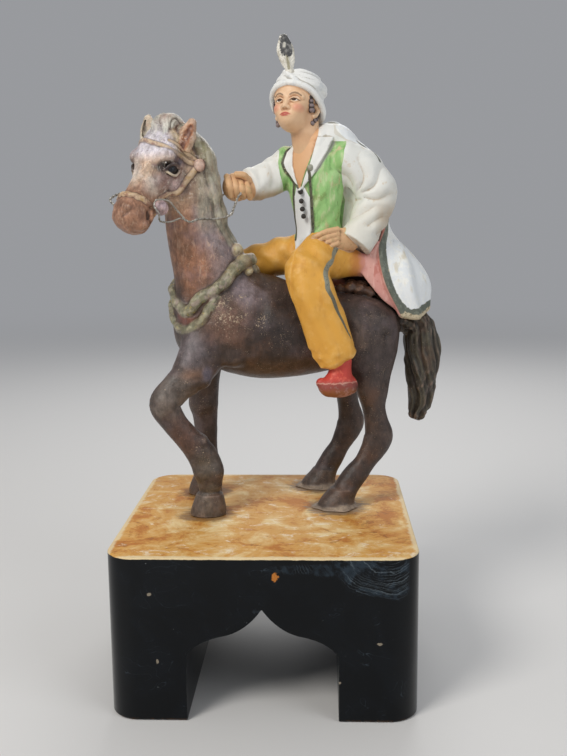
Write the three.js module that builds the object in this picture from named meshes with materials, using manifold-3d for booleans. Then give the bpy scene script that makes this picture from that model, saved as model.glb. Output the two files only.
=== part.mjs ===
// A terracotta horseman on a black wooden stand: stand, horse, rider and rein wire, each one closed solid.
// Millimetres, Z up, origin in the middle of the underside of the whole piece's bounding box.
// The figures are laid out in a frame of their own: x forward along the horse, y to its left, which is
// the side that is looked at, z up from the top of the stand.

import * as THREE from 'three';
import { mergeVertices } from 'three/addons/utils/BufferGeometryUtils.js';
import Module from 'manifold-3d';

const wasm = await Module();
wasm.setup();

// Stand
const STAND_SIDE = 165;
const STAND_HEIGHT = 90;
const STAND_CORNER = 16;
const STAND_EDGE = 1;
const ARCH_HALF_WIDTH = 40;
const ARCH_SHOULDER = 36;
const ARCH_TIP = 62;

// Figures on the stand
const HORSE_TURN = THREE.MathUtils.degToRad(191.6);
const HORSE_SPOT = new THREE.Vector3(35, 31, STAND_HEIGHT);
const GAP = 0.4;
const UP = [0, 0, 1];
const DOWN = [0, 0, -1];
const HORSE_TRIANGLES = 4200;
const RIDER_TRIANGLES = 3600;

// Horse
const BARREL_HALF_WIDTH = 28;
const BELLY = 77.5;
const BACK = 132.5;
const WITHERS = 138;
const CHEST_FRONT = 93;
const RUMP_END = -44;
const LEG_TRACK = 23;
const HOCK = 40;
const KNEE = 67;
const HEAD_TURN = THREE.MathUtils.degToRad(46);
const HEAD_SPOT = new THREE.Vector3(97.4, 6.5, 203.2);
const FACE_HALF_WIDTH = 14;
const MUZZLE_RADIUS = 11.2;

// Rider
const SEAT = 150;
const SHOULDERS = 208;
const FACE_SPOT = new THREE.Vector3(18.5, 0.5, 239.7);
const FACE_TURN = THREE.MathUtils.degToRad(46);
const HEAD_TILT = THREE.MathUtils.degToRad(-16);
const TURBAN_RADIUS = 16.6;
const CHEST_HALF_WIDTH = 18.5;
const CHEST_HALF_DEPTH = 12.5;
const LEG_HALF_WIDTH = 12.6;
const CAPE_THICKNESS = 3.6;
const WIRE_RADIUS = 0.8;

// Turns a three.js geometry into a solid that can be joined and cut.
function solid(geometry) {
  const bare = geometry.index ? geometry.clone() : geometry;
  bare.deleteAttribute('normal');
  bare.deleteAttribute('uv');
  const merged = mergeVertices(bare, 1e-4);
  return new wasm.Manifold(new wasm.Mesh({
    numProp: 3,
    vertProperties: Float32Array.from(merged.attributes.position.array),
    triVerts: Uint32Array.from(merged.index.array),
  }));
}

function joined(geometries) {
  return geometries.map(solid).reduce((whole, piece) => whole.add(piece));
}

// Turns a joined or cut solid back into a three.js geometry.
function geometryOf(body) {
  const mesh = body.getMesh();
  const geometry = new THREE.BufferGeometry();
  geometry.setAttribute('position', new THREE.BufferAttribute(new Float32Array(mesh.vertProperties), 3));
  geometry.setIndex(new THREE.BufferAttribute(new Uint32Array(mesh.triVerts), 1));
  geometry.computeVertexNormals();
  return geometry;
}

// Thins out a solid's triangles: the edges whose loss changes the surface least go first. Each vertex carries
// the sum of the squared distances to the planes of the faces round it, held as a symmetric 4 x 4 matrix.
function thinned(body, target) {
  const mesh = body.getMesh();
  const points = [];
  for (let i = 0; i < mesh.vertProperties.length; i += 3) {
    points.push(new THREE.Vector3(...mesh.vertProperties.slice(i, i + 3)));
  }
  let faces = [];
  for (let i = 0; i < mesh.triVerts.length; i += 3) {
    faces.push([...mesh.triVerts.slice(i, i + 3)]);
  }
  const quadrics = points.map(() => new Float64Array(10));
  const crossOf = (a, b, c) => b.clone().sub(a).cross(c.clone().sub(a));
  for (const [a, b, c] of faces) {
    const normal = crossOf(points[a], points[b], points[c]);
    const area = normal.length() / 2;
    normal.normalize();
    const plane = [normal.x, normal.y, normal.z, -normal.dot(points[a])];
    for (const vertex of [a, b, c]) {
      let k = 0;
      for (let i = 0; i < 4; i += 1) {
        for (let j = i; j < 4; j += 1) {
          quadrics[vertex][k] += area * plane[i] * plane[j];
          k += 1;
        }
      }
    }
  }
  const errorAt = (q, { x, y, z }) => q[0] * x * x + 2 * q[1] * x * y + 2 * q[2] * x * z + 2 * q[3] * x
    + q[4] * y * y + 2 * q[5] * y * z + 2 * q[6] * y + q[7] * z * z + 2 * q[8] * z + q[9];
  const system = new THREE.Matrix3();
  const bestPoint = (q, a, b) => {
    const choices = [a.clone().add(b).multiplyScalar(0.5), a, b];
    system.set(q[0], q[1], q[2], q[1], q[4], q[5], q[2], q[5], q[7]);
    if (Math.abs(system.determinant()) > 1e-6) {
      const exact = new THREE.Vector3(-q[3], -q[6], -q[8]).applyMatrix3(system.invert());
      if (exact.distanceTo(choices[0]) < a.distanceTo(b)) {
        choices.push(exact);
      }
    }
    const costs = choices.map((point) => errorAt(q, point));
    const best = costs.indexOf(Math.min(...costs));
    return { point: choices[best], cost: costs[best] + 1e-6 * a.distanceTo(b) };
  };
  while (faces.length > target) {
    const around = points.map(() => []);
    faces.forEach((face, index) => face.forEach((vertex) => around[vertex].push(index)));
    const neighbours = (vertex) => new Set(around[vertex].flatMap((index) => faces[index]));
    const edges = [];
    for (const face of faces) {
      for (let k = 0; k < 3; k += 1) {
        const [a, b] = [face[k], face[(k + 1) % 3]];
        if (a < b) {
          const q = quadrics[a].map((value, i) => value + quadrics[b][i]);
          edges.push({ a, b, q, ...bestPoint(q, points[a], points[b]) });
        }
      }
    }
    edges.sort((one, other) => one.cost - other.cost);
    const locked = new Set();
    const wanted = Math.ceil((faces.length - target) / 2);
    let done = 0;
    for (const { a, b, q, point } of edges.slice(0, Math.max(50, Math.ceil(edges.length / 5)))) {
      const nearA = neighbours(a);
      const nearB = neighbours(b);
      const shared = [...nearA].filter((vertex) => nearB.has(vertex));
      const touched = new Set([...around[a], ...around[b]]);
      const free = [...nearA, ...nearB].every((vertex) => !locked.has(vertex));
      const turns = (index) => {
        const face = faces[index];
        if (face.includes(a) && face.includes(b)) {
          return false;
        }
        const was = crossOf(...face.map((vertex) => points[vertex]));
        const now = crossOf(...face.map((vertex) => (vertex === a || vertex === b ? point : points[vertex])));
        return was.dot(now) < 0.2 * was.length() * now.length();
      };
      if (done < wanted && free && shared.length === 4 && ![...touched].some(turns)) {
        points[a] = point.clone();
        quadrics[a] = q;
        for (const index of around[b]) {
          faces[index] = faces[index].map((vertex) => (vertex === b ? a : vertex));
        }
        nearA.forEach((vertex) => locked.add(vertex));
        nearB.forEach((vertex) => locked.add(vertex));
        done += 1;
      }
    }
    faces = faces.filter(([a, b, c]) => a !== b && b !== c && c !== a);
    if (done === 0) {
      break;
    }
  }
  const geometry = new THREE.BufferGeometry();
  geometry.setAttribute('position', new THREE.Float32BufferAttribute(points.flatMap((p) => p.toArray()), 3));
  geometry.setIndex(faces.flat());
  return solid(geometry.toNonIndexed());
}

// A closed body along a smooth line. Each station is [x, y, z, half-width along side, half-depth].
// ends are the lengths of the rounded ends as a share of the smaller half-size; 0 is a flat end.
// level holds every ring square to that direction, whichever way the line leans.
function loft(stations, options) {
  const { side = [0, 1, 0], around = 12, steps = 2, ends = [0.8, 0.8] } = options;
  const { ripple = null, grow = 0, level = null } = options;
  const line = new THREE.CatmullRomCurve3(
    stations.map(([x, y, z]) => new THREE.Vector3(x, y, z)), false, 'catmullrom', 0.5);
  const sizes = new THREE.SplineCurve(stations.map(([, , , wide, deep]) => new THREE.Vector2(wide, deep)));
  const across = new THREE.Vector3(...side);
  const count = (stations.length - 1) * steps;
  const places = [];
  const dome = (t, sign, share) => {
    const size = sizes.getPoint(t);
    const length = share * Math.min(size.x, size.y) + (share > 0 ? grow : 0);
    return (angle) => places.push({ t, shrink: Math.cos(angle), push: sign * length * Math.sin(angle) });
  };
  const domeSteps = [Math.PI / 3, Math.PI / 6];
  if (ends[0] > 0) {
    domeSteps.forEach(dome(0, -1, ends[0]));
  }
  for (let i = 0; i <= count; i += 1) {
    places.push({ t: i / count, shrink: 1, push: 0 });
  }
  if (ends[1] > 0) {
    [...domeSteps].reverse().forEach(dome(1, 1, ends[1]));
  }
  const vertices = [];
  const frameAt = (t) => {
    const along = level ? new THREE.Vector3(...level) : line.getTangent(t);
    const first = across.clone().addScaledVector(along, -across.dot(along)).normalize();
    const second = new THREE.Vector3().crossVectors(along, first);
    return { centre: line.getPoint(t), along, first, second };
  };
  for (const { t, shrink, push } of places) {
    const { centre, along, first, second } = frameAt(t);
    const size = sizes.getPoint(t);
    for (let j = 0; j < around; j += 1) {
      const angle = (2 * Math.PI * j) / around;
      const extra = grow + (ripple ? ripple(angle, t) : 0);
      const point = centre.clone()
        .addScaledVector(first, Math.cos(angle) * (size.x + extra) * shrink)
        .addScaledVector(second, Math.sin(angle) * (size.y + extra) * shrink)
        .addScaledVector(along, push);
      vertices.push(point.x, point.y, point.z);
    }
  }
  for (const [t, sign, share] of [[0, -1, ends[0]], [1, 1, ends[1]]]) {
    const { centre, along } = frameAt(t);
    const size = sizes.getPoint(t);
    const length = share > 0 ? share * Math.min(size.x, size.y) + grow : 0;
    centre.addScaledVector(along, sign * length);
    vertices.push(centre.x, centre.y, centre.z);
  }
  const rings = places.length;
  const at = (i, j) => i * around + (j % around);
  const faces = [];
  for (let j = 0; j < around; j += 1) {
    faces.push(rings * around, at(0, j + 1), at(0, j));
    faces.push(rings * around + 1, at(rings - 1, j), at(rings - 1, j + 1));
    for (let i = 0; i < rings - 1; i += 1) {
      faces.push(at(i, j), at(i, j + 1), at(i + 1, j));
      faces.push(at(i, j + 1), at(i + 1, j + 1), at(i + 1, j));
    }
  }
  const geometry = new THREE.BufferGeometry();
  geometry.setAttribute('position', new THREE.Float32BufferAttribute(vertices, 3));
  geometry.setIndex(faces);
  return geometry;
}

// An ellipsoid: centre, the three half-sizes, and turns about Z, Y and X in degrees.
function blob([x, y, z], [a, b, c], { turn = [0, 0, 0], around = 14, grow = 0 } = {}) {
  const geometry = new THREE.SphereGeometry(1, around, Math.max(6, Math.round(around * 0.6)));
  geometry.scale(a + grow, b + grow, c + grow);
  geometry.rotateX(THREE.MathUtils.degToRad(turn[2]));
  geometry.rotateY(THREE.MathUtils.degToRad(turn[1]));
  geometry.rotateZ(THREE.MathUtils.degToRad(turn[0]));
  geometry.translate(x, y, z);
  return geometry;
}

function mirrored(list) {
  return list.map(([x, y, ...rest]) => [x, -y, ...rest]);
}

// The stand's outline from above is a square with round corners; its upper and lower edges are eased.
function standBody() {
  const half = STAND_SIDE / 2 - STAND_EDGE;
  const radius = STAND_CORNER - STAND_EDGE;
  const outline = new THREE.Shape();
  outline.moveTo(half, -half + radius);
  for (const [cx, cy, start] of [[1, 1, 0], [-1, 1, 0.5], [-1, -1, 1], [1, -1, 1.5]]) {
    const from = start * Math.PI;
    outline.absarc(cx * (half - radius), cy * (half - radius), radius, from, from + Math.PI / 2);
  }
  const block = new THREE.ExtrudeGeometry(outline, {
    depth: STAND_HEIGHT - 2 * STAND_EDGE,
    bevelEnabled: true,
    bevelThickness: STAND_EDGE,
    bevelSize: STAND_EDGE,
    bevelSegments: 1,
    curveSegments: 6,
  });
  block.translate(0, 0, STAND_EDGE);

  const below = -5;
  const sag = 8;
  const arch = new THREE.Shape();
  arch.moveTo(-ARCH_HALF_WIDTH, below);
  arch.lineTo(ARCH_HALF_WIDTH, below);
  arch.lineTo(ARCH_HALF_WIDTH, ARCH_SHOULDER);
  const haunch = [ARCH_HALF_WIDTH * 0.48, ARCH_SHOULDER + (ARCH_TIP - ARCH_SHOULDER) * 0.44];
  arch.quadraticCurveTo(ARCH_HALF_WIDTH - 5, haunch[1] - 3, ...haunch);
  arch.quadraticCurveTo(sag, haunch[1] + 3, 0, ARCH_TIP);
  arch.quadraticCurveTo(-sag, haunch[1] + 3, -haunch[0], haunch[1]);
  arch.quadraticCurveTo(-ARCH_HALF_WIDTH + 5, haunch[1] - 3, -ARCH_HALF_WIDTH, ARCH_SHOULDER);
  const tunnel = new THREE.ExtrudeGeometry(arch, {
    depth: STAND_SIDE + 20,
    bevelEnabled: false,
    curveSegments: 8,
  });
  tunnel.rotateX(Math.PI / 2);
  tunnel.translate(0, STAND_SIDE / 2 + 10, 0);
  return solid(block).subtract(solid(tunnel));
}

// Horse: trunk, neck, mane and tail.
function horseTrunk(grow) {
  const middle = (BELLY + BACK) / 2;
  const depth = (BACK - BELLY) / 2;
  const trunk = [
    [RUMP_END + 12, 0, middle - 1, 20, 19],
    [-18, 0, middle + 1, 26, 23],
    [0, 0, middle + 1, BARREL_HALF_WIDTH - 1, depth - 2],
    [20, 0, middle, BARREL_HALF_WIDTH, depth],
    [40, 0, middle + 1, BARREL_HALF_WIDTH, depth + 1.5],
    [60, 0, middle + 5, BARREL_HALF_WIDTH - 1, depth + 0.5],
    [CHEST_FRONT - 17, 0, middle + 6, 22, 24],
    [CHEST_FRONT - 7, 0, middle + 7, 15, 17],
  ];
  const neck = [
    [58, 0, 110, 21, 28],
    [66.5, 0, 131, 19, 26],
    [72.5, 0, 146, 16.5, 21],
    [78, 0, 162, 14.5, 17.5],
    [80, 0.5, 176, 13, 16.5],
    [81, 1.5, 190, 12, 15.5],
    [85, 3, 203, 11.5, 13.5],
    [89, 4, 213, 10, 9.5],
  ];
  return [
    loft(trunk, { around: 18, ends: [0.65, 0.45], grow }),
    loft(neck, { around: 14, grow, ends: [0.3, 0.8] }),
    blob([38, 0, WITHERS - 10], [17, 13, 11], { grow }),
  ];
}

// The mane lies over the crest in wavy locks; wave gives the ridges between them.
function horseMane(grow) {
  const lockCount = 9;
  const wave = (angle, t) => 0.9 * Math.sin(2 * Math.PI * lockCount * t + 2 * Math.cos(angle));
  const crest = [
    [46, 0, 141, 7, 5],
    [57, 0, 152, 9, 5.5],
    [64.5, 0, 165, 10, 6],
    [67, 1, 178, 10.5, 6],
    [70, 2, 192, 10.5, 6],
    [72, 3, 205, 10, 6],
    [79, 4, 216, 9, 6],
    [86, 4.5, 222, 8, 5],
  ];
  return [loft(crest, { around: 12, steps: 4, ripple: wave, grow })];
}

function horseTail(grow) {
  const strands = 5;
  const wave = (angle, t) => 0.9 * Math.sin(strands * angle + 5 * Math.sin(2 * Math.PI * t));
  const tail = [
    [-36, 0, 111, 7, 8],
    [-47, 0, 111, 8.5, 7.5],
    [-57, 0, 106, 10, 9],
    [-61.5, 0, 91, 10.5, 11.2],
    [-60.5, 0, 76, 9.5, 9.4],
    [-60, 0, 61, 7.5, 7.4],
    [-58, 0, 51, 5, 5],
  ];
  return [loft(tail, { around: 16, steps: 3, ripple: wave, ends: [0.5, 1], grow })];
}

// Both hind legs have the same shape; lead moves one of them forward between the haunch and the pastern.
function hindLeg(sign, lead, grow) {
  const track = LEG_TRACK;
  const leg = [
    [-18, track - 11, 108, 13, 20, 0],
    [-21, track - 7, 90, 12.5, 18.5, 0.3],
    [-23.5, track - 4, 74, 9.5, 10.8, 0.8],
    [-24.2, track - 2, HOCK + 20, 7.3, 7, 1],
    [-26.2, track - 1, HOCK + 8, 6.3, 7.5, 1],
    [-26, track - 0.5, HOCK - 0.5, 6.3, 8.6, 1],
    [-18.5, track, 27, 5.4, 6.4, 0.8],
    [-11.5, track + 0.5, 18.5, 6.2, 7.2, 0.5],
    [-6, track + 1, 11.5, 6.2, 7, 0.3],
  ].map(([x, y, z, wide, deep, share]) => [x + lead * share, sign * y, z, wide, deep]);
  const hoof = [
    [-4, track + 1, 11, 7.5, 8],
    [-1, track + 1, 5, 9, 10.5],
    [0, track + 1, GAP, 9.5, 11.5],
  ].map(([x, y, ...rest]) => [x + lead * 0.2, sign * y, ...rest]);
  const plaster = [
    [0, sign * (track + 1), GAP, 12, 14],
    [-1, sign * (track + 1), 3, 9, 10],
  ];
  return [
    loft(leg, { around: 12, grow, ends: [0.3, 0.6] }),
    loft(hoof, { around: 12, grow, ends: [0.3, 0], level: DOWN }),
    loft(plaster, { around: 12, grow, steps: 1, ends: [0, 0], level: UP }),
  ];
}

function foreLegs(grow) {
  const track = LEG_TRACK;
  const stepping = [
    [72, track - 8, 108, 9, 15],
    [79, track - 5, 93, 10, 13.5],
    [87, track - 3, 82, 9, 10.8],
    [93.5, track - 2, 76, 7.5, 9],
    [100.5, track - 1, KNEE, 7, 9],
    [95.5, track - 0.5, KNEE - 11, 6.2, 7.4],
    [88.3, track, KNEE - 20, 5.8, 7.4],
    [80.8, track, KNEE - 29.5, 6.3, 8.6],
    [76.6, track, 28, 6.6, 8.8],
    [75.3, track, 17, 6.3, 7],
  ];
  const standing = [
    [72, 8 - track, 108, 9, 15],
    [74, 5 - track, 90, 10, 12.5],
    [74.5, 3 - track, 75, 8.5, 10],
    [74.5, 1.5 - track, KNEE - 7, 7, 8.8],
    [73.8, 0.5 - track, 46, 6, 7.5],
    [73.2, -track, 30, 5.6, 6.5],
    [73, -track, 20, 6.3, 7.4],
    [73.5, -track, 13, 6.3, 6.8],
  ];
  const hoof = (x, y) => [
    [x - 1, y, 12, 7.4, 8],
    [x - 0.4, y, 5, 8.9, 10],
    [x, y, GAP, 9.4, 10.7],
  ];
  return [
    loft(stepping, { around: 12, grow, ends: [0.3, 0.6] }),
    loft(standing, { around: 12, grow, ends: [0.3, 0.6] }),
    loft(hoof(77, track), { around: 12, grow, ends: [0.3, 0], level: DOWN }),
    loft(hoof(75, -track), { around: 12, grow, ends: [0.3, 0], level: DOWN }),
  ];
}

// The head is built in its own frame: x out of the forehead, y to its left, z up, at eye height.
function horseHead(grow) {
  const skull = [
    [-8, 0, 17, 10, 9],
    [-1, 0, 9, FACE_HALF_WIDTH - 0.5, 12.5],
    [3, 0, -1, FACE_HALF_WIDTH, 14.5],
    [11, 0, -11, 9.5, 11.5],
    [18.5, 0, -18.5, 8.3, 9.8],
    [24, 0, -26, MUZZLE_RADIUS, MUZZLE_RADIUS],
    [26.5, 0, -30, MUZZLE_RADIUS - 0.5, MUZZLE_RADIUS - 0.5],
  ];
  const ear = [
    [-6, 12, 13, 4.4, 4],
    [-6.5, 14.3, 21, 4.4, 3],
    [-8, 15.5, 27.5, 2.2, 1.6],
  ];
  const forelock = [
    [-14, 0, 18, 8, 6],
    [-6, -1, 24, 8, 5.5],
    [2, -1, 20, 8, 4],
    [8, 0, 12.5, 5.5, 3],
  ];
  const lockWave = (angle, t) => 0.6 * Math.sin(5 * angle + 4 * t);
  const cheekStrap = [
    [-15, 13.5, 0, 1.6, 1.6],
    [-7, 13.8, -5, 1.6, 1.6],
    [1, 12.5, -9, 1.6, 1.6],
    [9, 10.2, -15.5, 1.6, 1.6],
    [15, 9, -21, 1.6, 1.6],
  ];
  const browBand = [
    [-15, 13.5, 1],
    [-5, 14.2, 6],
    [2, 12, 10],
    [7.5, 6, 13.5],
    [8.5, 0, 14.5],
    [7.5, -6, 13.5],
    [2, -12, 10],
    [-5, -14.2, 6],
    [-15, -13.5, 1],
  ].map((point) => [...point, 1.4, 1.4]);
  const noseBand = [];
  const noseBandSteps = 8;
  for (let i = 0; i <= noseBandSteps; i += 1) {
    const angle = Math.PI * (-0.15 + (1.3 * i) / noseBandSteps);
    const out = 9.8 * Math.sin(angle);
    noseBand.push([19 + out * 0.75, 9 * Math.cos(angle), -20 + out * 0.6, 1.6, 1.6]);
  }
  const parts = [
    loft(skull, { around: 14, grow, ends: [0.8, 0.8] }),
    loft(forelock, { around: 12, ripple: lockWave, grow }),
    loft(browBand, { side: [0, 0, 1], around: 6, steps: 1, grow }),
    loft(noseBand, { side: [1, 0, -1], around: 6, steps: 1, grow }),
  ];
  for (const sign of [1, -1]) {
    const onSide = (list) => (sign > 0 ? list : mirrored(list));
    parts.push(
      loft(onSide(ear), { around: 10, grow, ends: [0.3, 0.9] }),
      loft(onSide(cheekStrap), { side: [0, 1, 0], around: 6, steps: 1, grow }),
      blob([-5, sign * 6.5, -9], [12.5, 6.5, 12], { grow }),
      blob([8.5, sign * 11, 5], [5.5, 4.5, 5], { around: 10, grow }),
      blob([-16.6, sign * 13.6, -0.5], [3.7, 3.7, 3.7], { around: 10, grow }),
      blob([14.9, sign * 11.6, -24.3], [4.3, 3.8, 4.3], { around: 10, grow }),
    );
  }
  const place = new THREE.Matrix4().makeRotationZ(HEAD_TURN).setPosition(HEAD_SPOT);
  return parts.map((part) => part.applyMatrix4(place));
}

// Two leafy garland bands hang round the base of the neck from a knot at the withers.
function chestGarland(grow) {
  const beads = (count, height) => (angle, t) => height * Math.sin(2 * Math.PI * count * t);
  const upper = [
    [47, 10, 149],
    [55, 14.5, 146],
    [62, 18.5, 139.5],
    [67, 20, 134],
    [72.5, 20, 130.5],
    [79, 18.5, 126.5],
    [85.5, 14.5, 120],
    [89.5, 7, 123.5],
    [92, -2, 129.5],
    [90, -12, 134],
    [81, -17, 137],
    [68, -19, 140],
    [55, -15, 145],
    [47, -9, 148],
  ].map((point) => [...point, 3.6, 3.6]);
  const lower = [
    [69.5, 20.5, 128],
    [74.5, 22, 120],
    [79.5, 21, 113.5],
    [85, 17.5, 109],
    [90.5, 9, 111],
    [93, -2, 120],
    [90, -12, 129],
  ].map((point) => [...point, 2.6, 2.6]);
  return [
    loft(upper, { side: [0, 0, 1], around: 8, steps: 3, ripple: beads(11, 0.5), grow }),
    loft(lower, { side: [0, 0, 1], around: 8, steps: 3, ripple: beads(7, 0.4), grow }),
    blob([52, 13, 147], [5, 4.5, 5], { around: 10, grow }),
    blob([55, 9, 153], [4, 4, 4], { around: 10, grow }),
  ];
}

function horseBody(grow = 0) {
  return joined([
    ...horseTrunk(grow),
    ...horseMane(grow),
    ...horseTail(grow),
    ...hindLeg(1, 0, grow),
    ...hindLeg(-1, 6.5, grow),
    ...foreLegs(grow),
    ...horseHead(grow),
    ...chestGarland(grow),
  ]);
}

// Rider: the chest is turned to the left of the way the horse goes.
const CHEST_TURN = THREE.MathUtils.degToRad(53);
const FACING = new THREE.Vector3(Math.cos(CHEST_TURN), Math.sin(CHEST_TURN), 0);
const LEFTWARD = new THREE.Vector3(-Math.sin(CHEST_TURN), Math.cos(CHEST_TURN), 0);
const SPINE = new THREE.Vector3(5, 0, 0);

// A point near the rider's spine: so far to the rider's left, so far back, at this height.
function byTorso(left, back, height) {
  const point = SPINE.clone().addScaledVector(LEFTWARD, left).addScaledVector(FACING, -back);
  return [point.x, point.y, height];
}

function riderTorso() {
  const side = LEFTWARD.toArray();
  const torso = [
    [3, 0, SEAT + 2, 18, 14],
    [5, 0, SEAT + 16, 13.8, 11],
    [6, 0, 176, 14.5, 11],
    [6.5, 0, 190, CHEST_HALF_WIDTH - 1, CHEST_HALF_DEPTH],
    [7, 0, 201, CHEST_HALF_WIDTH, CHEST_HALF_DEPTH],
    [8, 0, SHOULDERS + 2, CHEST_HALF_WIDTH - 2, 10.5],
    [9.5, 0, 217, 10.5, 8.5],
  ];
  const neck = [
    [10.5, -0.5, 212, 9.6, 9],
    [12.5, 0, 220, 8.8, 8.4],
    [14, 0.5, 230, 8.8, 8.8],
  ];
  const shirtFront = [
    [...byTorso(-1, -12.5, 202), 4, 2],
    [...byTorso(-1, -12.2, 182), 3.4, 2],
    [...byTorso(0, -11.5, SEAT + 12), 3.4, 2],
  ];
  const lapel = (sign) => [
    [...byTorso(sign * 11, -7, 216), 3, 2],
    [...byTorso(sign * 9, -11.5, 206), 3.6, 2],
    [...byTorso(sign * 4, -13, 196), 2.4, 2],
    [...byTorso(sign * 4.5, -12.6, 180), 1.8, 1.8],
    [...byTorso(sign * 4.5, -12, SEAT + 12), 1.8, 1.8],
  ];
  return [
    loft(torso, { side, around: 18 }),
    loft(neck, { side, around: 12 }),
    loft(shirtFront, { side, around: 8 }),
    loft(lapel(1), { side, around: 8 }),
    loft(lapel(-1), { side, around: 8 }),
  ];
}

// Head: face and turban in a frame that looks up and to the left; the features are plain and even.
function riderHead() {
  const egg = loft([
    [1.6, 0, -12, 7.4, 8.4],
    [1, 0, -4, 11, 11.5],
    [0, 0, 4, 12.5, 13],
    [0, 0, 10, 11, 11],
  ], { around: 14 });
  const nose = loft([
    [11.6, 0, -1, 1.3, 1.3],
    [12.2, 0, -5, 1.7, 1.6],
    [12.4, 0, -8, 2.2, 2],
  ], { around: 8 });
  const chin = blob([6.8, 0, -14.6], [4, 4.6, 3.8], { around: 10 });
  const hair = [1, -1].map((sign) => blob([-2, sign * 11, -4], [4.5, 3, 6], { around: 10 }));
  const nape = blob([-8, 0, -7], [6, 9, 8]);
  const turbanWraps = 4;
  const wrap = (angle, t) => 0.7 * Math.sin(2 * Math.PI * turbanWraps * t + 1.5 * Math.sin(angle));
  const turban = loft([
    [-3.5, 0, -1, TURBAN_RADIUS - 1.6, TURBAN_RADIUS - 1.6],
    [-3, 0, 4, TURBAN_RADIUS, TURBAN_RADIUS + 0.2],
    [-3, 0, 10, TURBAN_RADIUS - 1, TURBAN_RADIUS - 1],
    [-3, 0, 15, TURBAN_RADIUS - 5, TURBAN_RADIUS - 5],
  ], { around: 18, steps: 4, ripple: wrap, ends: [0.2, 0.35] });
  const tilt = new THREE.Matrix4().makeRotationY(HEAD_TILT);
  const place = new THREE.Matrix4().makeRotationZ(FACE_TURN).multiply(tilt).setPosition(FACE_SPOT);
  const placed = [egg, nose, chin, ...hair, nape, turban].map((part) => part.applyMatrix4(place));
  const plume = loft([
    [22, 4, 255, 3, 2],
    [23.5, 4, 262, 4.2, 2.2],
    [25.2, 4, 269, 4.9, 2.2],
    [26, 4, 275, 2.6, 1.6],
  ], { side: [1, -0.2, 0], around: 10, ends: [0.5, 1.6] });
  return [...placed, plume];
}

// Sleeves are wide; folds gives the creases round them.
function folds(count, depth) {
  return (angle, t) => depth * Math.sin(2 * Math.PI * count * t + 2.2 * Math.sin(angle));
}

function riderArms() {
  const reaching = [
    [20, -11, 206, 10, 10],
    [29.5, -10.5, 198, 10, 11.2],
    [38, -7, 194.5, 9.5, 10.2],
    [45.5, -3.5, 192, 9, 9.8],
  ];
  const akimboUpper = [
    [-8, 9.5, 207, 10, 10.5],
    [-19, 9, 200, 11.5, 12.5],
    [-28, 9, 188, 12, 12.6],
  ];
  const akimboLower = [
    [-29, 9, 187, 11.5, 12.2],
    [-24, 12, 174, 10, 11],
    [-16, 15, 161, 8, 10],
  ];
  const fist = [
    blob([54.5, 0, 191], [8, 6.5, 8.4]),
    loft([[46, -2, 191, 6, 6.5], [52, -1, 191, 6, 7]], { around: 10 }),
  ];
  const knuckles = 4;
  for (let i = 0; i < knuckles; i += 1) {
    const x = 60 - i * 3.6;
    fist.push(loft([
      [x, 2, 196 - i * 0.8, 1.9, 2],
      [x - 0.8, 6.2, 192 - i, 1.9, 2],
      [x - 2.4, 4.5, 186.5 - i * 0.6, 1.8, 2],
    ], { side: [1, 0, 0], around: 8 }));
  }
  const palm = [
    [-13, 16, 160, 3.6, 6.5],
    [-5, 18, 160.5, 3.4, 6.2],
    [2, 18.5, 161, 3, 5.6],
  ];
  const hand = [loft(palm, { around: 10 })];
  const fingers = 4;
  for (let i = 0; i < fingers; i += 1) {
    const drop = i * 2.6;
    hand.push(loft([
      [0, 18.5, 165 - drop, 1.9, 1.9],
      [7, 18, 163.5 - drop * 1.1, 1.8, 1.8],
      [13 - i, 16, 160.5 - drop * 1.2, 1.5, 1.5],
    ], { around: 8 }));
  }
  return [
    loft(reaching, { around: 14, steps: 4, ripple: folds(4, 0.5), ends: [0.8, 0.25] }),
    loft(akimboUpper, { around: 14, steps: 5, ripple: folds(3, 0.6) }),
    loft(akimboLower, { around: 14, steps: 5, ripple: folds(4, 0.7), ends: [0.8, 0.25] }),
    ...fist,
    ...hand,
  ];
}

// Wide trousers from the seat over the knee to the cuff, and a soft boot below each.
function riderLeg(thigh, shin, [x, y, z], outward) {
  const lengthways = (angle) => 0.6 * Math.sin(5 * angle);
  const bootTop = [
    [x, y, z + 6, 6, 6.6],
    [x, y, z, 5.6, 6.4],
    [x, y, z - 7, 6, 7],
  ];
  const foot = [
    [x - 9, y - outward, z - 9, 6.5, 6],
    [x - 1, y, z - 10, 7.6, 6.4],
    [x + 7, y + outward, z - 9.5, 6.2, 5.4],
  ];
  return [
    loft(thigh, { around: 14, steps: 3, ripple: folds(2, 0.5) }),
    loft(shin, { around: 14, steps: 3, ripple: lengthways, ends: [0.8, 0.4] }),
    loft(bootTop, { around: 12 }),
    loft(foot, { around: 12, ends: [0.6, 1] }),
  ];
}

function riderLegs() {
  const wide = LEG_HALF_WIDTH;
  const nearThigh = [
    [-3, 4, SEAT, 12, 14],
    [9, 16, 149, 12, 13],
    [18, 25, 142, 11, 12],
  ];
  const nearShin = [
    [18.5, 27, 140, 10, 12],
    [15, 31, 131, 9.5, wide],
    [9, 32, 114.5, 9.5, wide + 0.6],
    [3.5, 33, 98, 9.5, wide],
    [1, 33, 92, 9, wide - 1],
  ];
  const farThigh = [
    [4, -6, SEAT, 12, 13],
    [24, -13, 150, 11, 11.5],
    [44, -23, 144, 10.5, 11],
  ];
  const farShin = [
    [45, -26, 141, 10, 11],
    [42, -31, 131, 9.5, wide],
    [36, -32, 116, 9.5, wide + 0.6],
    [31, -33, 101, 9.5, wide],
    [28.5, -33, 96, 9, wide - 1],
  ];
  return [
    ...riderLeg(nearThigh, nearShin, [-1, 32.5, 84.5], 2),
    ...riderLeg(farThigh, farShin, [26, -32.5, 88.5], -2),
  ];
}

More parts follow.
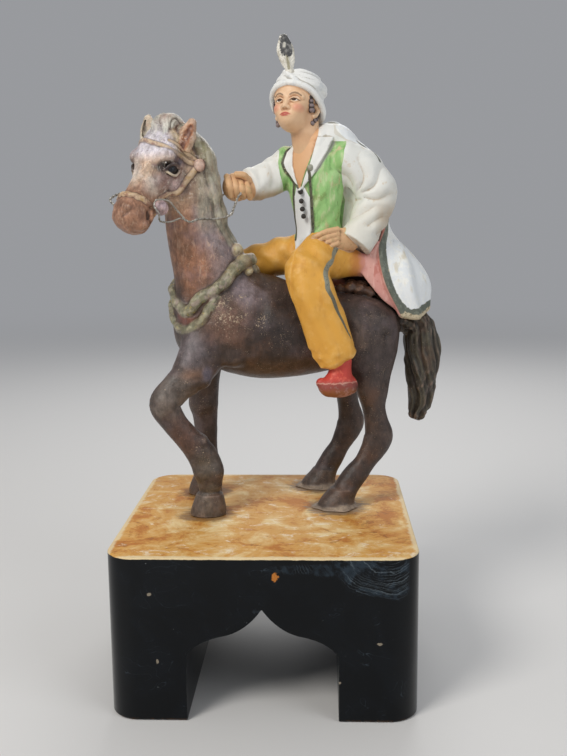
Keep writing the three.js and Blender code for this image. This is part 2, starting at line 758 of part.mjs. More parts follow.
// The open coat hangs from the shoulders as one thick sheet. Each row runs from its near front edge round
// the back to its far front edge; the rows go from the shoulders down to the hem over the croup.
function riderCoat() {
  const collar = [
    byTorso(17, 2, SHOULDERS + 11),
    byTorso(13, 8, SHOULDERS + 16),
    byTorso(7, 11, SHOULDERS + 19),
    byTorso(0, 12.5, SHOULDERS + 19),
    byTorso(-8, 11.5, SHOULDERS + 14),
    byTorso(-14, 9, SHOULDERS + 7),
    byTorso(-18, 5, SHOULDERS + 1),
  ];
  const row = (height, points) => points.map(([x, y, rise = 0]) => [x, y, height + rise]);
  const back = row(SHOULDERS, [
    [-27, 6],
    [-27, -3],
    [-21, -11],
    [-11, -16],
    [0, -18, -2],
    [10, -19, -6],
    [17, -17, -9],
  ]);
  const blades = row(188, [
    [-36, 5],
    [-35, -4],
    [-29, -12],
    [-19, -17],
    [-7, -20, -2],
    [5, -21, -4],
    [14, -19, -5],
  ]);
  const waist = row(168, [
    [-34, 8],
    [-37, -1],
    [-33, -10],
    [-23, -16],
    [-11, -20, -1],
    [2, -22, -2],
    [12, -21, -2],
  ]);
  const seat = row(SEAT + 2, [
    [-29.5, 14],
    [-42, 8, 1],
    [-49, -2, 1],
    [-46, -14, -1],
    [-33, -22, -3],
    [-15, -27, -5],
    [2, -27, -5],
  ]);
  const skirt = row(134, [
    [-32.5, 18.5],
    [-46, 15],
    [-61, 2, 1],
    [-57, -14],
    [-43, -26, -2],
    [-25, -31, -3],
    [-8, -30, -2],
  ]);
  const hem = row(118, [
    [-43, 18.5, -2],
    [-53, 13, -4],
    [-61, 3],
    [-58, -12, 2],
    [-46, -24, 4],
    [-31, -30, 5],
    [-17, -29, 7],
  ]);
  const rows = [collar, back, blades, waist, seat, skirt, hem];
  const columns = 18;
  const levels = 16;
  const pleats = 6;
  const smooth = (points) => new THREE.CatmullRomCurve3(points);
  const rowLines = rows.map((points) => smooth(points.map((point) => new THREE.Vector3(...point))));
  const grid = [];
  for (let i = 0; i <= levels; i += 1) {
    grid.push([]);
    for (let j = 0; j <= columns; j += 1) {
      const down = smooth(rowLines.map((line) => line.getPoint(j / columns)));
      grid[i].push(down.getPoint(i / levels));
    }
  }
  const outward = (i, j) => {
    const before = Math.max(j - 1, 0);
    const after = Math.min(j + 1, columns);
    const above = Math.max(i - 1, 0);
    const under = Math.min(i + 1, levels);
    const round = grid[i][after].clone().sub(grid[i][before]);
    const fall = grid[under][j].clone().sub(grid[above][j]);
    return round.cross(fall).normalize();
  };
  const vertices = [];
  for (const face of [0.5, -0.5]) {
    for (let i = 0; i <= levels; i += 1) {
      for (let j = 0; j <= columns; j += 1) {
        const pleat = 1.2 * (i / levels) * Math.sin((2 * Math.PI * pleats * j) / columns);
        const point = grid[i][j].clone().addScaledVector(outward(i, j), face * CAPE_THICKNESS + pleat);
        vertices.push(point.x, point.y, point.z);
      }
    }
  }
  const layer = (levels + 1) * (columns + 1);
  const id = (side, i, j) => side * layer + i * (columns + 1) + j;
  const faces = [];
  const quad = (a, b, c, d) => faces.push(a, b, c, a, c, d);
  for (let i = 0; i < levels; i += 1) {
    for (let j = 0; j < columns; j += 1) {
      quad(id(0, i, j), id(0, i, j + 1), id(0, i + 1, j + 1), id(0, i + 1, j));
      quad(id(1, i, j), id(1, i + 1, j), id(1, i + 1, j + 1), id(1, i, j + 1));
    }
    quad(id(0, i, 0), id(0, i + 1, 0), id(1, i + 1, 0), id(1, i, 0));
    quad(id(0, i, columns), id(1, i, columns), id(1, i + 1, columns), id(0, i + 1, columns));
  }
  for (let j = 0; j < columns; j += 1) {
    quad(id(0, 0, j), id(1, 0, j), id(1, 0, j + 1), id(0, 0, j + 1));
    quad(id(0, levels, j), id(0, levels, j + 1), id(1, levels, j + 1), id(1, levels, j));
  }
  const geometry = new THREE.BufferGeometry();
  geometry.setAttribute('position', new THREE.Float32BufferAttribute(vertices, 3));
  geometry.setIndex(faces);
  return geometry;
}

// Clay that fills the space between the rider's back and the coat.
function coatFilling() {
  const filling = [
    [-6, -5, SHOULDERS + 6, 15, 8],
    [-12, -7, 200, 18, 9],
    [-14, -7, 184, 17, 10],
    [-14, -7, 168, 16, 11],
    [-16, -6, SEAT - 2, 16, 12],
  ];
  return loft(filling, { side: LEFTWARD.toArray(), around: 14 });
}

function riderBody() {
  return joined([
    ...riderTorso(),
    ...riderHead(),
    ...riderArms(),
    ...riderLegs(),
    riderCoat(),
    coatFilling(),
  ]);
}

// The rein: from its bent far end through the bit, along the far side of the neck to the fist, and back
// down the near side to a loop at the near end of the bit.
function reinBody(grow = 0) {
  const farSide = [
    [124, -2, 179.3],
    [127.8, -4, 184.5],
    [119, -4, 188],
    [111, -9, 183],
    [99, -15, 177],
    [86, -18, 175],
    [72, -17, 179],
    [61, -10, 187],
    [58, -3, 190],
    [54, 2, 190],
  ];
  const nearSide = [
    [54, 2, 190],
    [51, 7, 189],
    [54.2, 8.5, 185],
    [56.9, 10, 179.2],
    [59.4, 11.5, 174.7],
    [68.6, 15, 172.4],
    [77.5, 18, 172.5],
    [83.3, 20, 170.9],
    [87.9, 22, 173.1],
  ];
  const loop = [
    [86.5, 21.6, 172.6],
    [91.8, 24.5, 178.7],
    [95.6, 27.5, 182.5],
    [101.8, 30.5, 183],
    [103.5, 31, 179.8],
    [101, 31, 175.5],
    [100.4, 29, 171.6],
    [94.9, 26.5, 171],
    [88.5, 22.8, 173.2],
  ];
  const wire = (points, radius) => loft(
    points.map((point) => [...point, radius, radius]),
    { side: [0.1, 0, 1], around: 6, grow, ends: [0.5, 0.5] },
  );
  return joined([
    wire(farSide, WIRE_RADIUS),
    wire(nearSide, WIRE_RADIUS),
    wire(loop, WIRE_RADIUS * 0.75),
  ]);
}

const wireSpace = reinBody(GAP);
const horse = thinned(horseBody(), HORSE_TRIANGLES).subtract(wireSpace);
const horseSpace = thinned(horseBody(2 * GAP), HORSE_TRIANGLES);
const rider = thinned(riderBody(), RIDER_TRIANGLES).subtract(horseSpace).subtract(wireSpace);

function piece(name, body, colour, roughness, metalness = 0) {
  const material = new THREE.MeshStandardMaterial({ color: colour, roughness, metalness });
  const mesh = new THREE.Mesh(geometryOf(body), material);
  mesh.name = name;
  return mesh;
}

const figures = new THREE.Group();
figures.rotation.z = HORSE_TURN;
figures.position.copy(HORSE_SPOT);
figures.add(
  piece('horse', horse, '#5a4038', 0.7),
  piece('rider', rider, '#d9cdb6', 0.65),
  piece('rein_wire', reinBody(), '#8d8a84', 0.4, 0.9),
);

const horseman = new THREE.Group();
horseman.add(piece('stand', standBody(), '#15161a', 0.3), figures);
horseman.updateMatrixWorld(true);
const extent = new THREE.Box3().setFromObject(horseman, true);
const middle = extent.getCenter(new THREE.Vector3());
horseman.position.set(-middle.x, -middle.y, -extent.min.z);

export default horseman;
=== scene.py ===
"""Looks for the painted terracotta horseman on its black wooden stand.

The horse and the rider are sculpted here as fields: each limb is a chain of elliptical sections along a smooth
line, as in the solids, the chains are blended softly, and the surface where the field is zero becomes a mesh.
Lengths are millimetres until a mesh is made. The figures have a frame of their own: x forward along the horse,
y to its left, which is the side that is looked at, and z up from the top of the stand.
"""

import math
import re

import bmesh
import bpy
import numpy as np
from mathutils import Matrix, Vector
from mathutils.kdtree import KDTree


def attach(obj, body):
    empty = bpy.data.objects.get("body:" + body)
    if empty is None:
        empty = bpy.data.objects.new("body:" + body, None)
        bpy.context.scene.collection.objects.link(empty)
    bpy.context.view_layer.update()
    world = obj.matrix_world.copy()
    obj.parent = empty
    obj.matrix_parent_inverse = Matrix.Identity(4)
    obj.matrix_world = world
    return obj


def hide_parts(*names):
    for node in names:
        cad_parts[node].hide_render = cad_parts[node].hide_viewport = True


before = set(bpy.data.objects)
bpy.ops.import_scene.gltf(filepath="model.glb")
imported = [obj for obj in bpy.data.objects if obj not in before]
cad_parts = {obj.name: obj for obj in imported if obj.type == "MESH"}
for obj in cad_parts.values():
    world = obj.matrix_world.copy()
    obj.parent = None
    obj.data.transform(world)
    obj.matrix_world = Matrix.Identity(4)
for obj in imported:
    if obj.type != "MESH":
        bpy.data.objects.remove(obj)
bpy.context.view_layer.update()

STAND_HEIGHT = 90.0
STAND_SIDE = 165.0
STAND_CENTRE = (-7.407, 0.0)
HORSE_TURN = math.radians(191.6)
HORSE_SPOT = (35.0, 31.0)
SEAT_GAP = 0.3
FINE = 1.0
HORSE_CELL = 0.52 * FINE
RIDER_CELL = 0.46 * FINE
HEAD_CELL = 0.3 * FINE
MOST_TRIANGLES = 190000

F32 = np.float32
SIDES = (("near", 1), ("far", -1))
CHUNK = 60000
FAR_AWAY = 50


def ramp(low, high, x):
    """0 at low, 1 at high, smooth between; low may be the larger one."""
    t = np.clip((x - low) / (high - low), 0, 1)
    return t * t * (3 - 2 * t)


def least(*fields):
    return np.minimum.reduce(fields)


def unit(v):
    v = np.asarray(v, float)
    return v / np.linalg.norm(v)


def turned(degrees_z=0.0, degrees_y=0.0, degrees_x=0.0):
    """A rotation matrix: about X first, then Y, then Z."""
    out = Matrix.Rotation(math.radians(degrees_z), 3, "Z") @ Matrix.Rotation(math.radians(degrees_y), 3, "Y")
    return np.array(out @ Matrix.Rotation(math.radians(degrees_x), 3, "X"))


def noise(points, scale, seed=0):
    """Smooth lumpy noise from -1 to 1 with features about scale wide."""
    q = points / scale + 1000.0
    cell = np.floor(q).astype(np.int64)
    f = q - cell
    f = f * f * (3 - 2 * f)
    out = np.zeros(len(points))
    for corner in range(8):
        step = np.array([corner & 1, corner >> 1 & 1, corner >> 2 & 1])
        c = cell + step
        h = (c[:, 0] * 374761393 + c[:, 1] * 668265263 + c[:, 2] * 1442695041 + seed * 1274126177) & 0xFFFFFFFF
        h = ((h ^ (h >> 13)) * 1274126177) & 0xFFFFFFFF
        h = (h ^ (h >> 16)) / 4294967295.0
        weight = np.prod(np.where(step, f, 1 - f), axis=1)
        out += weight * h
    return out * 2 - 1


def curve_through(rows, count):
    """Points on a uniform Catmull-Rom line through the rows; any number of columns."""
    p = np.asarray(rows, float)
    p = np.vstack([2 * p[0] - p[1], p, 2 * p[-1] - p[-2]])
    spans = len(p) - 3
    t = np.linspace(0, spans, count)
    i = np.minimum(t.astype(int), spans - 1)
    f = (t - i)[:, None]
    a, b, c, d = p[i], p[i + 1], p[i + 2], p[i + 3]
    return 0.5 * (2 * b + (c - a) * f + (2 * a - 5 * b + 4 * c - d) * f**2 + (3 * b - a - 3 * c + d) * f**3)


class Strand:
    """A limb: elliptical sections along a smooth line. Each row is x, y, z, half-width along side, half-depth.
    ends are the lengths of its rounded ends as a share of the smaller half-size. upright stacks the sections
    level, as in a hoof. ripple(angle, t) adds folds to its radius."""

    def __init__(self, rows, side=(0, 1, 0), ends=(0.8, 0.8), ripple=None, upright=False, step=1.1):
        rows = np.asarray(rows, float)
        if rows.shape[1] == 4:
            rows = np.hstack([rows, rows[:, 3:]])
        fine = curve_through(rows, (len(rows) - 1) * 32 + 1)
        run = np.concatenate([[0], np.cumsum(np.linalg.norm(np.diff(fine[:, :3], axis=0), axis=1))])
        self.count = max(8, int(run[-1] / step) + 1)
        at = np.linspace(0, run[-1], self.count)
        self.step = at[1]
        table = np.stack([np.interp(at, run, column) for column in fine.T], 1)
        t = np.interp(at, run, np.linspace(0, 1, len(fine)))
        if upright:
            tangent = np.tile([0, 0, np.sign(table[-1, 2] - table[0, 2])], (self.count, 1))
        else:
            tangent = np.gradient(table[:, :3], axis=0)
            tangent /= np.linalg.norm(tangent, axis=1)[:, None]
        first = np.asarray(side, float) - (tangent @ np.asarray(side, float))[:, None] * tangent
        first /= np.linalg.norm(first, axis=1)[:, None]
        second = np.cross(tangent, first)
        self.upright = upright
        self.centres = table[:, :3].astype(F32)
        self.square = (self.centres**2).sum(1)
        self.tangent = tangent.astype(F32)
        self.table = np.hstack([table[:, :3], tangent, first, second, table[:, 3:5], t[:, None]]).astype(F32)
        self.caps = [share * table[i, 3:5].min() for i, share in ((0, ends[0]), (-1, ends[1]))]
        self.ripple = ripple

    def locate(self, p):
        """For each point: offsets along the section's two axes, distance past an end, half-sizes and t."""
        if self.upright:
            f = (p[:, 2] - self.centres[0, 2]) / (self.centres[-1, 2] - self.centres[0, 2]) * (self.count - 1)
            w = np.zeros(len(p), F32)
        else:
            i = (self.square - 2 * p @ self.centres.T).argmin(1)
            w = ((p - self.centres[i]) * self.tangent[i]).sum(1)
            f = i + w / self.step
        held = np.clip(f, 0, self.count - 1)
        over = (f - held) * self.step
        j = np.minimum(held.astype(int), self.count - 2)
        g = (held - j)[:, None].astype(F32)
        row = self.table[j] * (1 - g) + self.table[j + 1] * g
        d = p - row[:, :3]
        u = (d * row[:, 6:9]).sum(1)
        v = (d * row[:, 9:12]).sum(1)
        return u, v, over, row[:, 12], row[:, 13], row[:, 14]

    def __call__(self, p):
        out = np.empty(len(p), F32)
        for start in range(0, len(p), CHUNK):
            part = slice(start, start + CHUNK)
            u, v, w, a, b, t = self.locate(p[part])
            if self.ripple is not None:
                more = self.ripple(np.arctan2(v / b, u / a), t)
                a, b = a + more, b + more
            low, high = self.caps
            cap = np.where(w < 0, low, high)
            round_end = np.where((w != 0) & (cap > 0), w / np.maximum(cap, 1e-3), 0)
            k0 = np.sqrt((u / a) ** 2 + (v / b) ** 2 + round_end**2)
            slope = np.where(cap > 0, round_end / np.maximum(cap, 1e-3), 0)
            k1 = np.sqrt((u / a**2) ** 2 + (v / b**2) ** 2 + slope**2)
            d = k0 * (k0 - 1) / np.maximum(k1, 1e-4)
            out[part] = np.where((w != 0) & (cap <= 0), np.maximum(d, np.abs(w)), d)
        return out


class Blob:
    """An ellipsoid with its own turn."""

    def __init__(self, centre, sizes, turn=None):
        self.centre = np.asarray(centre, F32)
        self.sizes = np.asarray(sizes, F32)
        self.turn = None if turn is None else np.asarray(turn, F32)

    def __call__(self, p):
        d = p - self.centre
        if self.turn is not None:
            d = d @ self.turn
        k0 = np.sqrt(((d / self.sizes) ** 2).sum(1))
        k1 = np.sqrt(((d / self.sizes**2) ** 2).sum(1))
        return k0 * (k0 - 1) / np.maximum(k1, 1e-4)


class Placed:
    """A shape laid out in a frame of its own: origin and rotation give its place."""

    def __init__(self, shape, origin, rotation):
        self.shape = shape
        self.origin = np.asarray(origin, F32)
        self.rotation = np.asarray(rotation, F32)

    def __call__(self, p):
        return self.shape((p - self.origin) @ self.rotation)


class Grown:
    """A shape made larger all round."""

    def __init__(self, shape, by):
        self.shape = shape
        self.by = by

    def __call__(self, p):
        return self.shape(p) - self.by


def softly(a, b, k):
    """The smaller of two distances with a blend k wide."""
    if k <= 0:
        return np.minimum(a, b)
    h = np.maximum(k - np.abs(a - b), 0) / k
    return np.minimum(a, b) - h * h * k * 0.25


class Half:
    """Everything on one side of a plane: inside against the direction."""

    def __init__(self, place, direction):
        self.place = np.array(place, F32)
        self.direction = unit(np.array(direction, float)).astype(F32)

    def __call__(self, p):
        return ((p - self.place) @ self.direction).astype(F32)


class Trimmed:
    """The part of a shape that lies inside another."""

    def __init__(self, shape, other):
        self.shape, self.other = shape, other

    def __call__(self, p):
        return np.maximum(self.shape(p), self.other(p))


def pair(*words):
    """Each word for the near and the far side."""
    return [side + word for side, _ in SIDES for word in words]


def both(words):
    return " ".join(pair(*words.split()))


def numbered(count, word):
    """The same word for every number, which takes the place of its #."""
    return " ".join(word.replace("#", str(i)) for i in range(count))


class Sculpture:
    """A list of steps that join shapes on or cut them away, made from words: neck+9 joins the neck with a blend
    9 mm wide, and groove-4 cuts the groove away with a blend of 4."""

    def __init__(self, parts, words):
        self.steps = []
        self.follow(parts, words)

    def follow(self, parts, words):
        for name, sign, k in re.findall(r"(\w+)([+-])([\d.]+)", words):
            self.steps.append((sign, parts[name], float(k)))
        return self

    @staticmethod
    def apply(step, field, d):
        sign, _, k = step
        return softly(field, d, k) if sign == "+" else -softly(-field, d, k)

    def __call__(self, p):
        field = np.full(len(p), FAR_AWAY, F32)
        for step in self.steps:
            field = self.apply(step, field, step[1](p)).astype(F32)
        return field

    def near(self, p, reach):
        """The field at p and, for each step, the points near which its shape makes a difference."""
        field = np.full(len(p), FAR_AWAY, F32)
        close = []
        for step in self.steps:
            sign, shape, k = step
            d = shape(p)
            apart = d - field if sign == "+" else d + field
            close.append((d < reach + k + 6) & (apart < k + 2 * reach + 1))
            field = self.apply(step, field, d).astype(F32)
        return field, close


def surface(sculpture, low, high, cell):
    """The zero surface of a sculpture inside a box, as points and four-sided faces (surface nets)."""
    small, big = 4, 16
    low = np.asarray(low, float)
    counts = np.ceil((np.asarray(high, float) - low) / (cell * big)).astype(int)
    corners = np.stack(np.meshgrid(*[np.arange(n) for n in counts], indexing="ij"), -1).reshape(-1, 3)
    centre = (low + (corners + 0.5) * cell * big).astype(F32)
    field = sculpture(centre)
    fill = np.repeat(np.repeat(np.repeat(np.sign(field).reshape(counts), 4, 0), 4, 1), 4, 2).astype(F32)
    corners = corners[np.abs(field) < cell * big * 0.87 + 2.5]
    inner = np.stack(np.meshgrid(*[np.arange(4)] * 3, indexing="ij"), -1).reshape(-1, 3)
    blocks = (corners[:, None] * 4 + inner).reshape(-1, 3)
    centre = (low + (blocks + 0.5) * cell * small).astype(F32)
    reach = cell * small * 0.87 + 0.8
    field, close = sculpture.near(centre, reach)
    fill[tuple(blocks.T)] = np.sign(field)
    keep = np.abs(field) < reach
    blocks = blocks[keep]
    close = [c[keep] for c in close]
    lattice = ((blocks[:, None] * small + inner) * cell + low).astype(F32)
    values = np.full(lattice.shape[:2], FAR_AWAY, F32)
    for step, mask in zip(sculpture.steps, close):
        if not mask.any():
            continue
        part = values[mask]
        d = step[1](lattice[mask].reshape(-1, 3)).reshape(part.shape)
        values[mask] = sculpture.apply(step, part, d)
    size = counts * big
    grid = np.repeat(np.repeat(np.repeat(fill * 9, small, 0), small, 1), small, 2)
    view = grid.reshape(size[0] // small, small, size[1] // small, small, size[2] // small, small)
    view[blocks[:, 0], :, blocks[:, 1], :, blocks[:, 2], :] = values.reshape(-1, small, small, small)
    inside = grid < 0
    mixed = np.zeros(tuple(size - 1), np.uint8)
    offsets = [(i, j, k) for i in (0, 1) for j in (0, 1) for k in (0, 1)]
    for i, j, k in offsets:
        mixed += inside[i:size[0] - 1 + i, j:size[1] - 1 + j, k:size[2] - 1 + k]
    cells = np.flatnonzero((mixed > 0) & (mixed < 8))
    shape = tuple(size - 1)
    index = np.stack(np.unravel_index(cells, shape), 1)
    corner_values = np.stack([grid[index[:, 0] + i, index[:, 1] + j, index[:, 2] + k] for i, j, k in offsets], 1)
    total = np.zeros((len(cells), 3))
    crossings = np.zeros(len(cells))
    for a in range(8):
        for b in range(a + 1, 8):
            step = np.subtract(offsets[b], offsets[a])
            if np.abs(step).sum() != 1:
                continue
            va, vb = corner_values[:, a], corner_values[:, b]
            crosses = (va < 0) != (vb < 0)
            t = np.where(crosses, va / np.where(crosses, va - vb, 1), 0)
            total += np.where(crosses[:, None], np.array(offsets[a]) + t[:, None] * step, 0)
            crossings += crosses
    points = low + (index + total / crossings[:, None]) * cell
    faces = []
    for axis in range(3):
        ahead = [slice(None)] * 3
        behind = [slice(None)] * 3
        ahead[axis], behind[axis] = slice(1, None), slice(None, -1)
        now, then = inside[tuple(behind)], inside[tuple(ahead)]
        edge = np.stack(np.unravel_index(np.flatnonzero(now != then), now.shape), 1)
        one, other = (axis + 1) % 3, (axis + 2) % 3
        edge = edge[(edge[:, one] > 0) & (edge[:, other] > 0)]
        leaving = now[tuple(edge.T)]
        ring = []
        for back_one, back_other in ((1, 1), (0, 1), (0, 0), (1, 0)):
            at = edge.copy()
            at[:, one] -= back_one
            at[:, other] -= back_other
            ring.append(np.searchsorted(cells, np.ravel_multi_index(tuple(at.T), shape)))
        ring = np.stack(ring, 1)
        ring[~leaving] = ring[~leaving][:, ::-1]
        faces.append(ring)
    return points, np.vstack(faces)


def laid_on(sculpture, rows, sink=0.0):
    """Moves the middle line of a strap or a lip to the surface of a sculpture, sunk in by so much."""
    rows = np.array(rows, float)
    for _ in range(6):
        points = rows[:, :3].astype(F32)
        steps = np.eye(3, dtype=F32) * 0.15
        slope = np.stack([sculpture(points + step) - sculpture(points - step) for step in steps], 1).astype(float)
        slope /= np.maximum(np.linalg.norm(slope, axis=1), 1e-6)[:, None]
        rows[:, :3] -= (sculpture(points).astype(float) + sink)[:, None] * slope
    return rows.tolist()


def to_row(points):
    """Figure frame in millimetres to row frame in metres."""
    c, s = math.cos(HORSE_TURN), math.sin(HORSE_TURN)
    x = points[:, 0] * c - points[:, 1] * s + HORSE_SPOT[0] + STAND_CENTRE[0]
    y = points[:, 0] * s + points[:, 1] * c + HORSE_SPOT[1] + STAND_CENTRE[1]
    return np.stack([x, y, points[:, 2] + STAND_HEIGHT], 1) / 1000


def mesh_from(name, points, faces):
    mesh = bpy.data.meshes.new(name)
    faces = np.asarray(faces, np.int32)
    mesh.vertices.add(len(points))
    mesh.vertices.foreach_set("co", np.asarray(points, F32).ravel())
    mesh.loops.add(faces.size)
    mesh.loops.foreach_set("vertex_index", faces.ravel())
    mesh.polygons.add(len(faces))
    mesh.polygons.foreach_set("loop_start", np.arange(0, faces.size, faces.shape[1], dtype=np.int32))
    mesh.update(calc_edges=True)
    mesh.validate()
    return mesh


def coordinates(mesh):
    out = np.empty(len(mesh.vertices) * 3, F32)
    mesh.vertices.foreach_get("co", out)
    return out.reshape(-1, 3).astype(float)


def normals_of(mesh):
    out = np.empty(len(mesh.vertices) * 3, F32)
    mesh.vertex_normals.foreach_get("vector", out)
    return out.reshape(-1, 3).astype(float)


def lighter(mesh, most):
    """The same surface with at most so many triangles."""
    triangles = 2 * len(mesh.polygons)
    if triangles <= most:
        return mesh
    piece = linked("thinning", mesh)
    thin = piece.modifiers.new("thin", "DECIMATE")
    thin.ratio = most / triangles
    made = bpy.data.meshes.new_from_object(piece.evaluated_get(bpy.context.evaluated_depsgraph_get()))
    bpy.data.objects.remove(piece)
    return made


def sculpted(name, sculpture, low, high, cell, relief=None, most=MOST_TRIANGLES):
    """Meshes a sculpture. relief(points, normals) gives how far to push each point outward for shallow detail.
    Returns the object with its points still in the figure frame, and those points."""
    points, faces = surface(sculpture, low, high, cell)
    mesh = mesh_from(name, points, faces)
    if relief is not None:
        push = relief(points, normals_of(mesh))
        points = points + normals_of(mesh) * push[:, None]
        mesh.vertices.foreach_set("co", points.astype(F32).ravel())
        mesh.update()
    mesh = lighter(mesh, most)
    mesh.name = name
    return linked(name, mesh), coordinates(mesh)


def give(piece, **fields):
    """Stores numbers at the points of a mesh for its material to read."""
    for name, values in fields.items():
        layer = piece.data.attributes.new(name, "FLOAT", "POINT")
        layer.data.foreach_set("value", np.asarray(values, F32))


def hollows(mesh, reach):
    """How far each point lies below (+) or above (-) the surface smoothed over so many millimetres."""
    points, normals = coordinates(mesh), normals_of(mesh)
    ends = np.empty(len(mesh.edges) * 2, np.int32)
    mesh.edges.foreach_get("vertices", ends)
    one, other = np.concatenate([ends[::2], ends[1::2]]), np.concatenate([ends[1::2], ends[::2]])
    count = np.maximum(np.bincount(one, minlength=len(points)), 1)
    spacing = np.linalg.norm(points[one] - points[other], axis=1).mean()
    smooth = points.copy()
    for _ in range(max(2, round((reach / spacing) ** 2))):
        around = np.stack([np.bincount(one, weights=smooth[other, k], minlength=len(points)) for k in range(3)], 1)
        smooth = 0.4 * smooth + 0.6 * around / count[:, None]
    return ((smooth - points) * normals).sum(1)


def linear(code):
    """A hex colour as linear numbers."""
    value = np.array([int(code[i:i + 2], 16) for i in (1, 3, 5)]) / 255
    return np.where(value < 0.04045, value / 12.92, ((value + 0.055) / 1.055) ** 2.4)


class Tint:
    """A soft base colour for every point of a mesh, built up in layers."""

    def __init__(self, points, code):
        self.points = points
        self.colour = np.tile(linear(code), (len(points), 1))
        self.waver = 0.38 * noise(points, 7, 41) + 0.25 * noise(points, 2.6, 43)

    def lay(self, code, share):
        share = np.clip(share, 0, 1)[:, None]
        self.colour = self.colour * (1 - share) + linear(code) * share
        return self

    def dab(self, code, place, size, share=1.0, edge=0.5):
        """A soft patch round a place; size is one radius, or three for an oval."""
        d = np.sqrt((((self.points - np.array(place)) / np.array(size)) ** 2).sum(1)) + self.waver
        return self.lay(code, share * ramp(1 + edge, 1 - edge, d))

    def store(self, piece):
        layer = piece.data.attributes.new("tint", "FLOAT_COLOR", "POINT")
        colours = np.hstack([self.colour, np.ones((len(self.points), 1))])
        layer.data.foreach_set("color", colours.astype(F32).ravel())


def along(points, rows, width=0.0):
    """Distance from each point to a line through the rows, less its half-width."""
    return Strand([[*row[:3], max(width, 0.05)] for row in rows])(points.astype(F32))


def linked(name, data):
    """A new object in the scene."""
    piece = bpy.data.objects.new(name, data)
    bpy.context.scene.collection.objects.link(piece)
    return piece


def stands_for(piece, node):
    """Lets a finished piece take the place of a CAD node."""
    piece.data.polygons.foreach_set("use_smooth", [True] * len(piece.data.polygons))
    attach(piece, "root")
    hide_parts(node)


def settle(piece, node):
    """Moves a finished figure mesh to its place and lets it stand for a CAD node."""
    points = to_row(coordinates(piece.data))
    piece.data.vertices.foreach_set("co", points.astype(F32).ravel())
    piece.data.update()
    stands_for(piece, node)


# Horse. The head has a frame of its own: x out of the forehead, y to its left, z up, at eye height.
HEAD_PLACE = ((97.4, 6.5, 203.2), turned(46))


def on_head(shape):
    return Placed(shape, *HEAD_PLACE)


def out_of_frame(rows, place):
    """Rows in the frame of a head, in the figure frame."""
    return [[*(np.array(place[0]) + place[1] @ np.array(r[:3])), *r[3:]] for r in rows]


def into_frame(points, place):
    return (points - np.array(place[0])) @ place[1]


def hind_leg(sign, lead):
    rows = [[-18, 12, 108, 13, 20, 0], [-21, 16, 90, 12.5, 18.5, 0.3], [-23.5, 19, 74, 9.5, 10.8, 0.8],
            [-24.2, 21, 60, 7.3, 7, 1], [-26.2, 22, 48, 6.3, 7.5, 1], [-26, 22.5, 39.5, 6.3, 8.6, 1],
            [-18.5, 23, 27, 5.4, 6.4, 0.8], [-11.5, 23.5, 18.5, 6.2, 7.2, 0.5], [-6, 24, 11.5, 6.2, 7, 0.3]]
    leg = [[x + lead * share, sign * y, z, a, b] for x, y, z, a, b, share in rows]
    hoof = [[-4, 24, 11, 7.5, 8], [-1, 24, 5, 9, 10.5], [0, 24, 0.4, 9.5, 11.5]]
    hoof = [[x + lead * 0.2, sign * y, z, a, b] for x, y, z, a, b in hoof]
    return leg, hoof


STEPPING_LEG = [[72, 15, 108, 9, 15], [79, 18, 93, 10, 13.5], [87, 20, 82, 9, 10.8], [93.5, 21, 76, 7.5, 9],
                [100.5, 22, 67, 7, 9], [95.5, 22.5, 56, 6.2, 7.4], [88.3, 23, 47, 5.8, 7.4],
                [80.8, 23, 37.5, 6.3, 8.6], [76.6, 23, 28, 6.6, 8.8], [75.3, 23, 17, 6.3, 7]]
STANDING_LEG = [[72, -15, 108, 9, 15], [74, -18, 90, 10, 12.5], [74.5, -20, 75, 8.5, 10], [74.5, -21.5, 60, 7, 8.8],
                [73.8, -22.5, 46, 6, 7.5], [73.2, -23, 30, 5.6, 6.5], [73, -23, 20, 6.3, 7.4],
                [73.5, -23, 13, 6.3, 6.8]]
MANE = [[46, 0, 141, 7, 5], [57, 0, 152, 9, 5.5], [64.5, 0, 165, 10, 6], [67, 1, 178, 10.5, 6],
        [70, 2, 192, 10.5, 6], [72, 3, 205, 10, 6], [79, 4, 216, 9, 6], [86, 4.5, 222, 8, 5]]
TAIL = [[-36, 0, 111, 7, 8], [-47, 0, 111, 8.5, 7.5], [-57, 0, 106, 10, 9], [-60.8, 0, 91, 10.1, 10.6],
        [-60.5, 0, 76, 9.5, 9.4], [-60, 0, 61, 7.5, 7.4], [-58, 0, 51, 5, 5]]
FORELOCK = [[-14, 0, 18, 8, 6], [-6, -0.4, 24, 8, 5.5], [1.4, 0.4, 20, 7.4, 3.8], [7.4, 1.4, 13, 5.2, 2.8]]
GARLAND_UPPER = [[47, 10, 149], [55, 14.5, 146], [62, 18.5, 139.5], [67, 20, 134], [72.5, 20, 130.5],
                 [79, 18.5, 126.5], [85.5, 14.5, 120], [89.5, 7, 123.5], [92, -2, 129.5], [90, -12, 134],
                 [81, -17, 137], [68, -19, 140], [55, -15, 145], [47, -9, 148]]
GARLAND_LOWER = [[69.5, 20.5, 128], [74.5, 22, 120], [79.5, 21, 113.5], [85, 17.5, 109], [90.5, 9, 111],
                 [93, -2, 120], [90, -12, 129]]
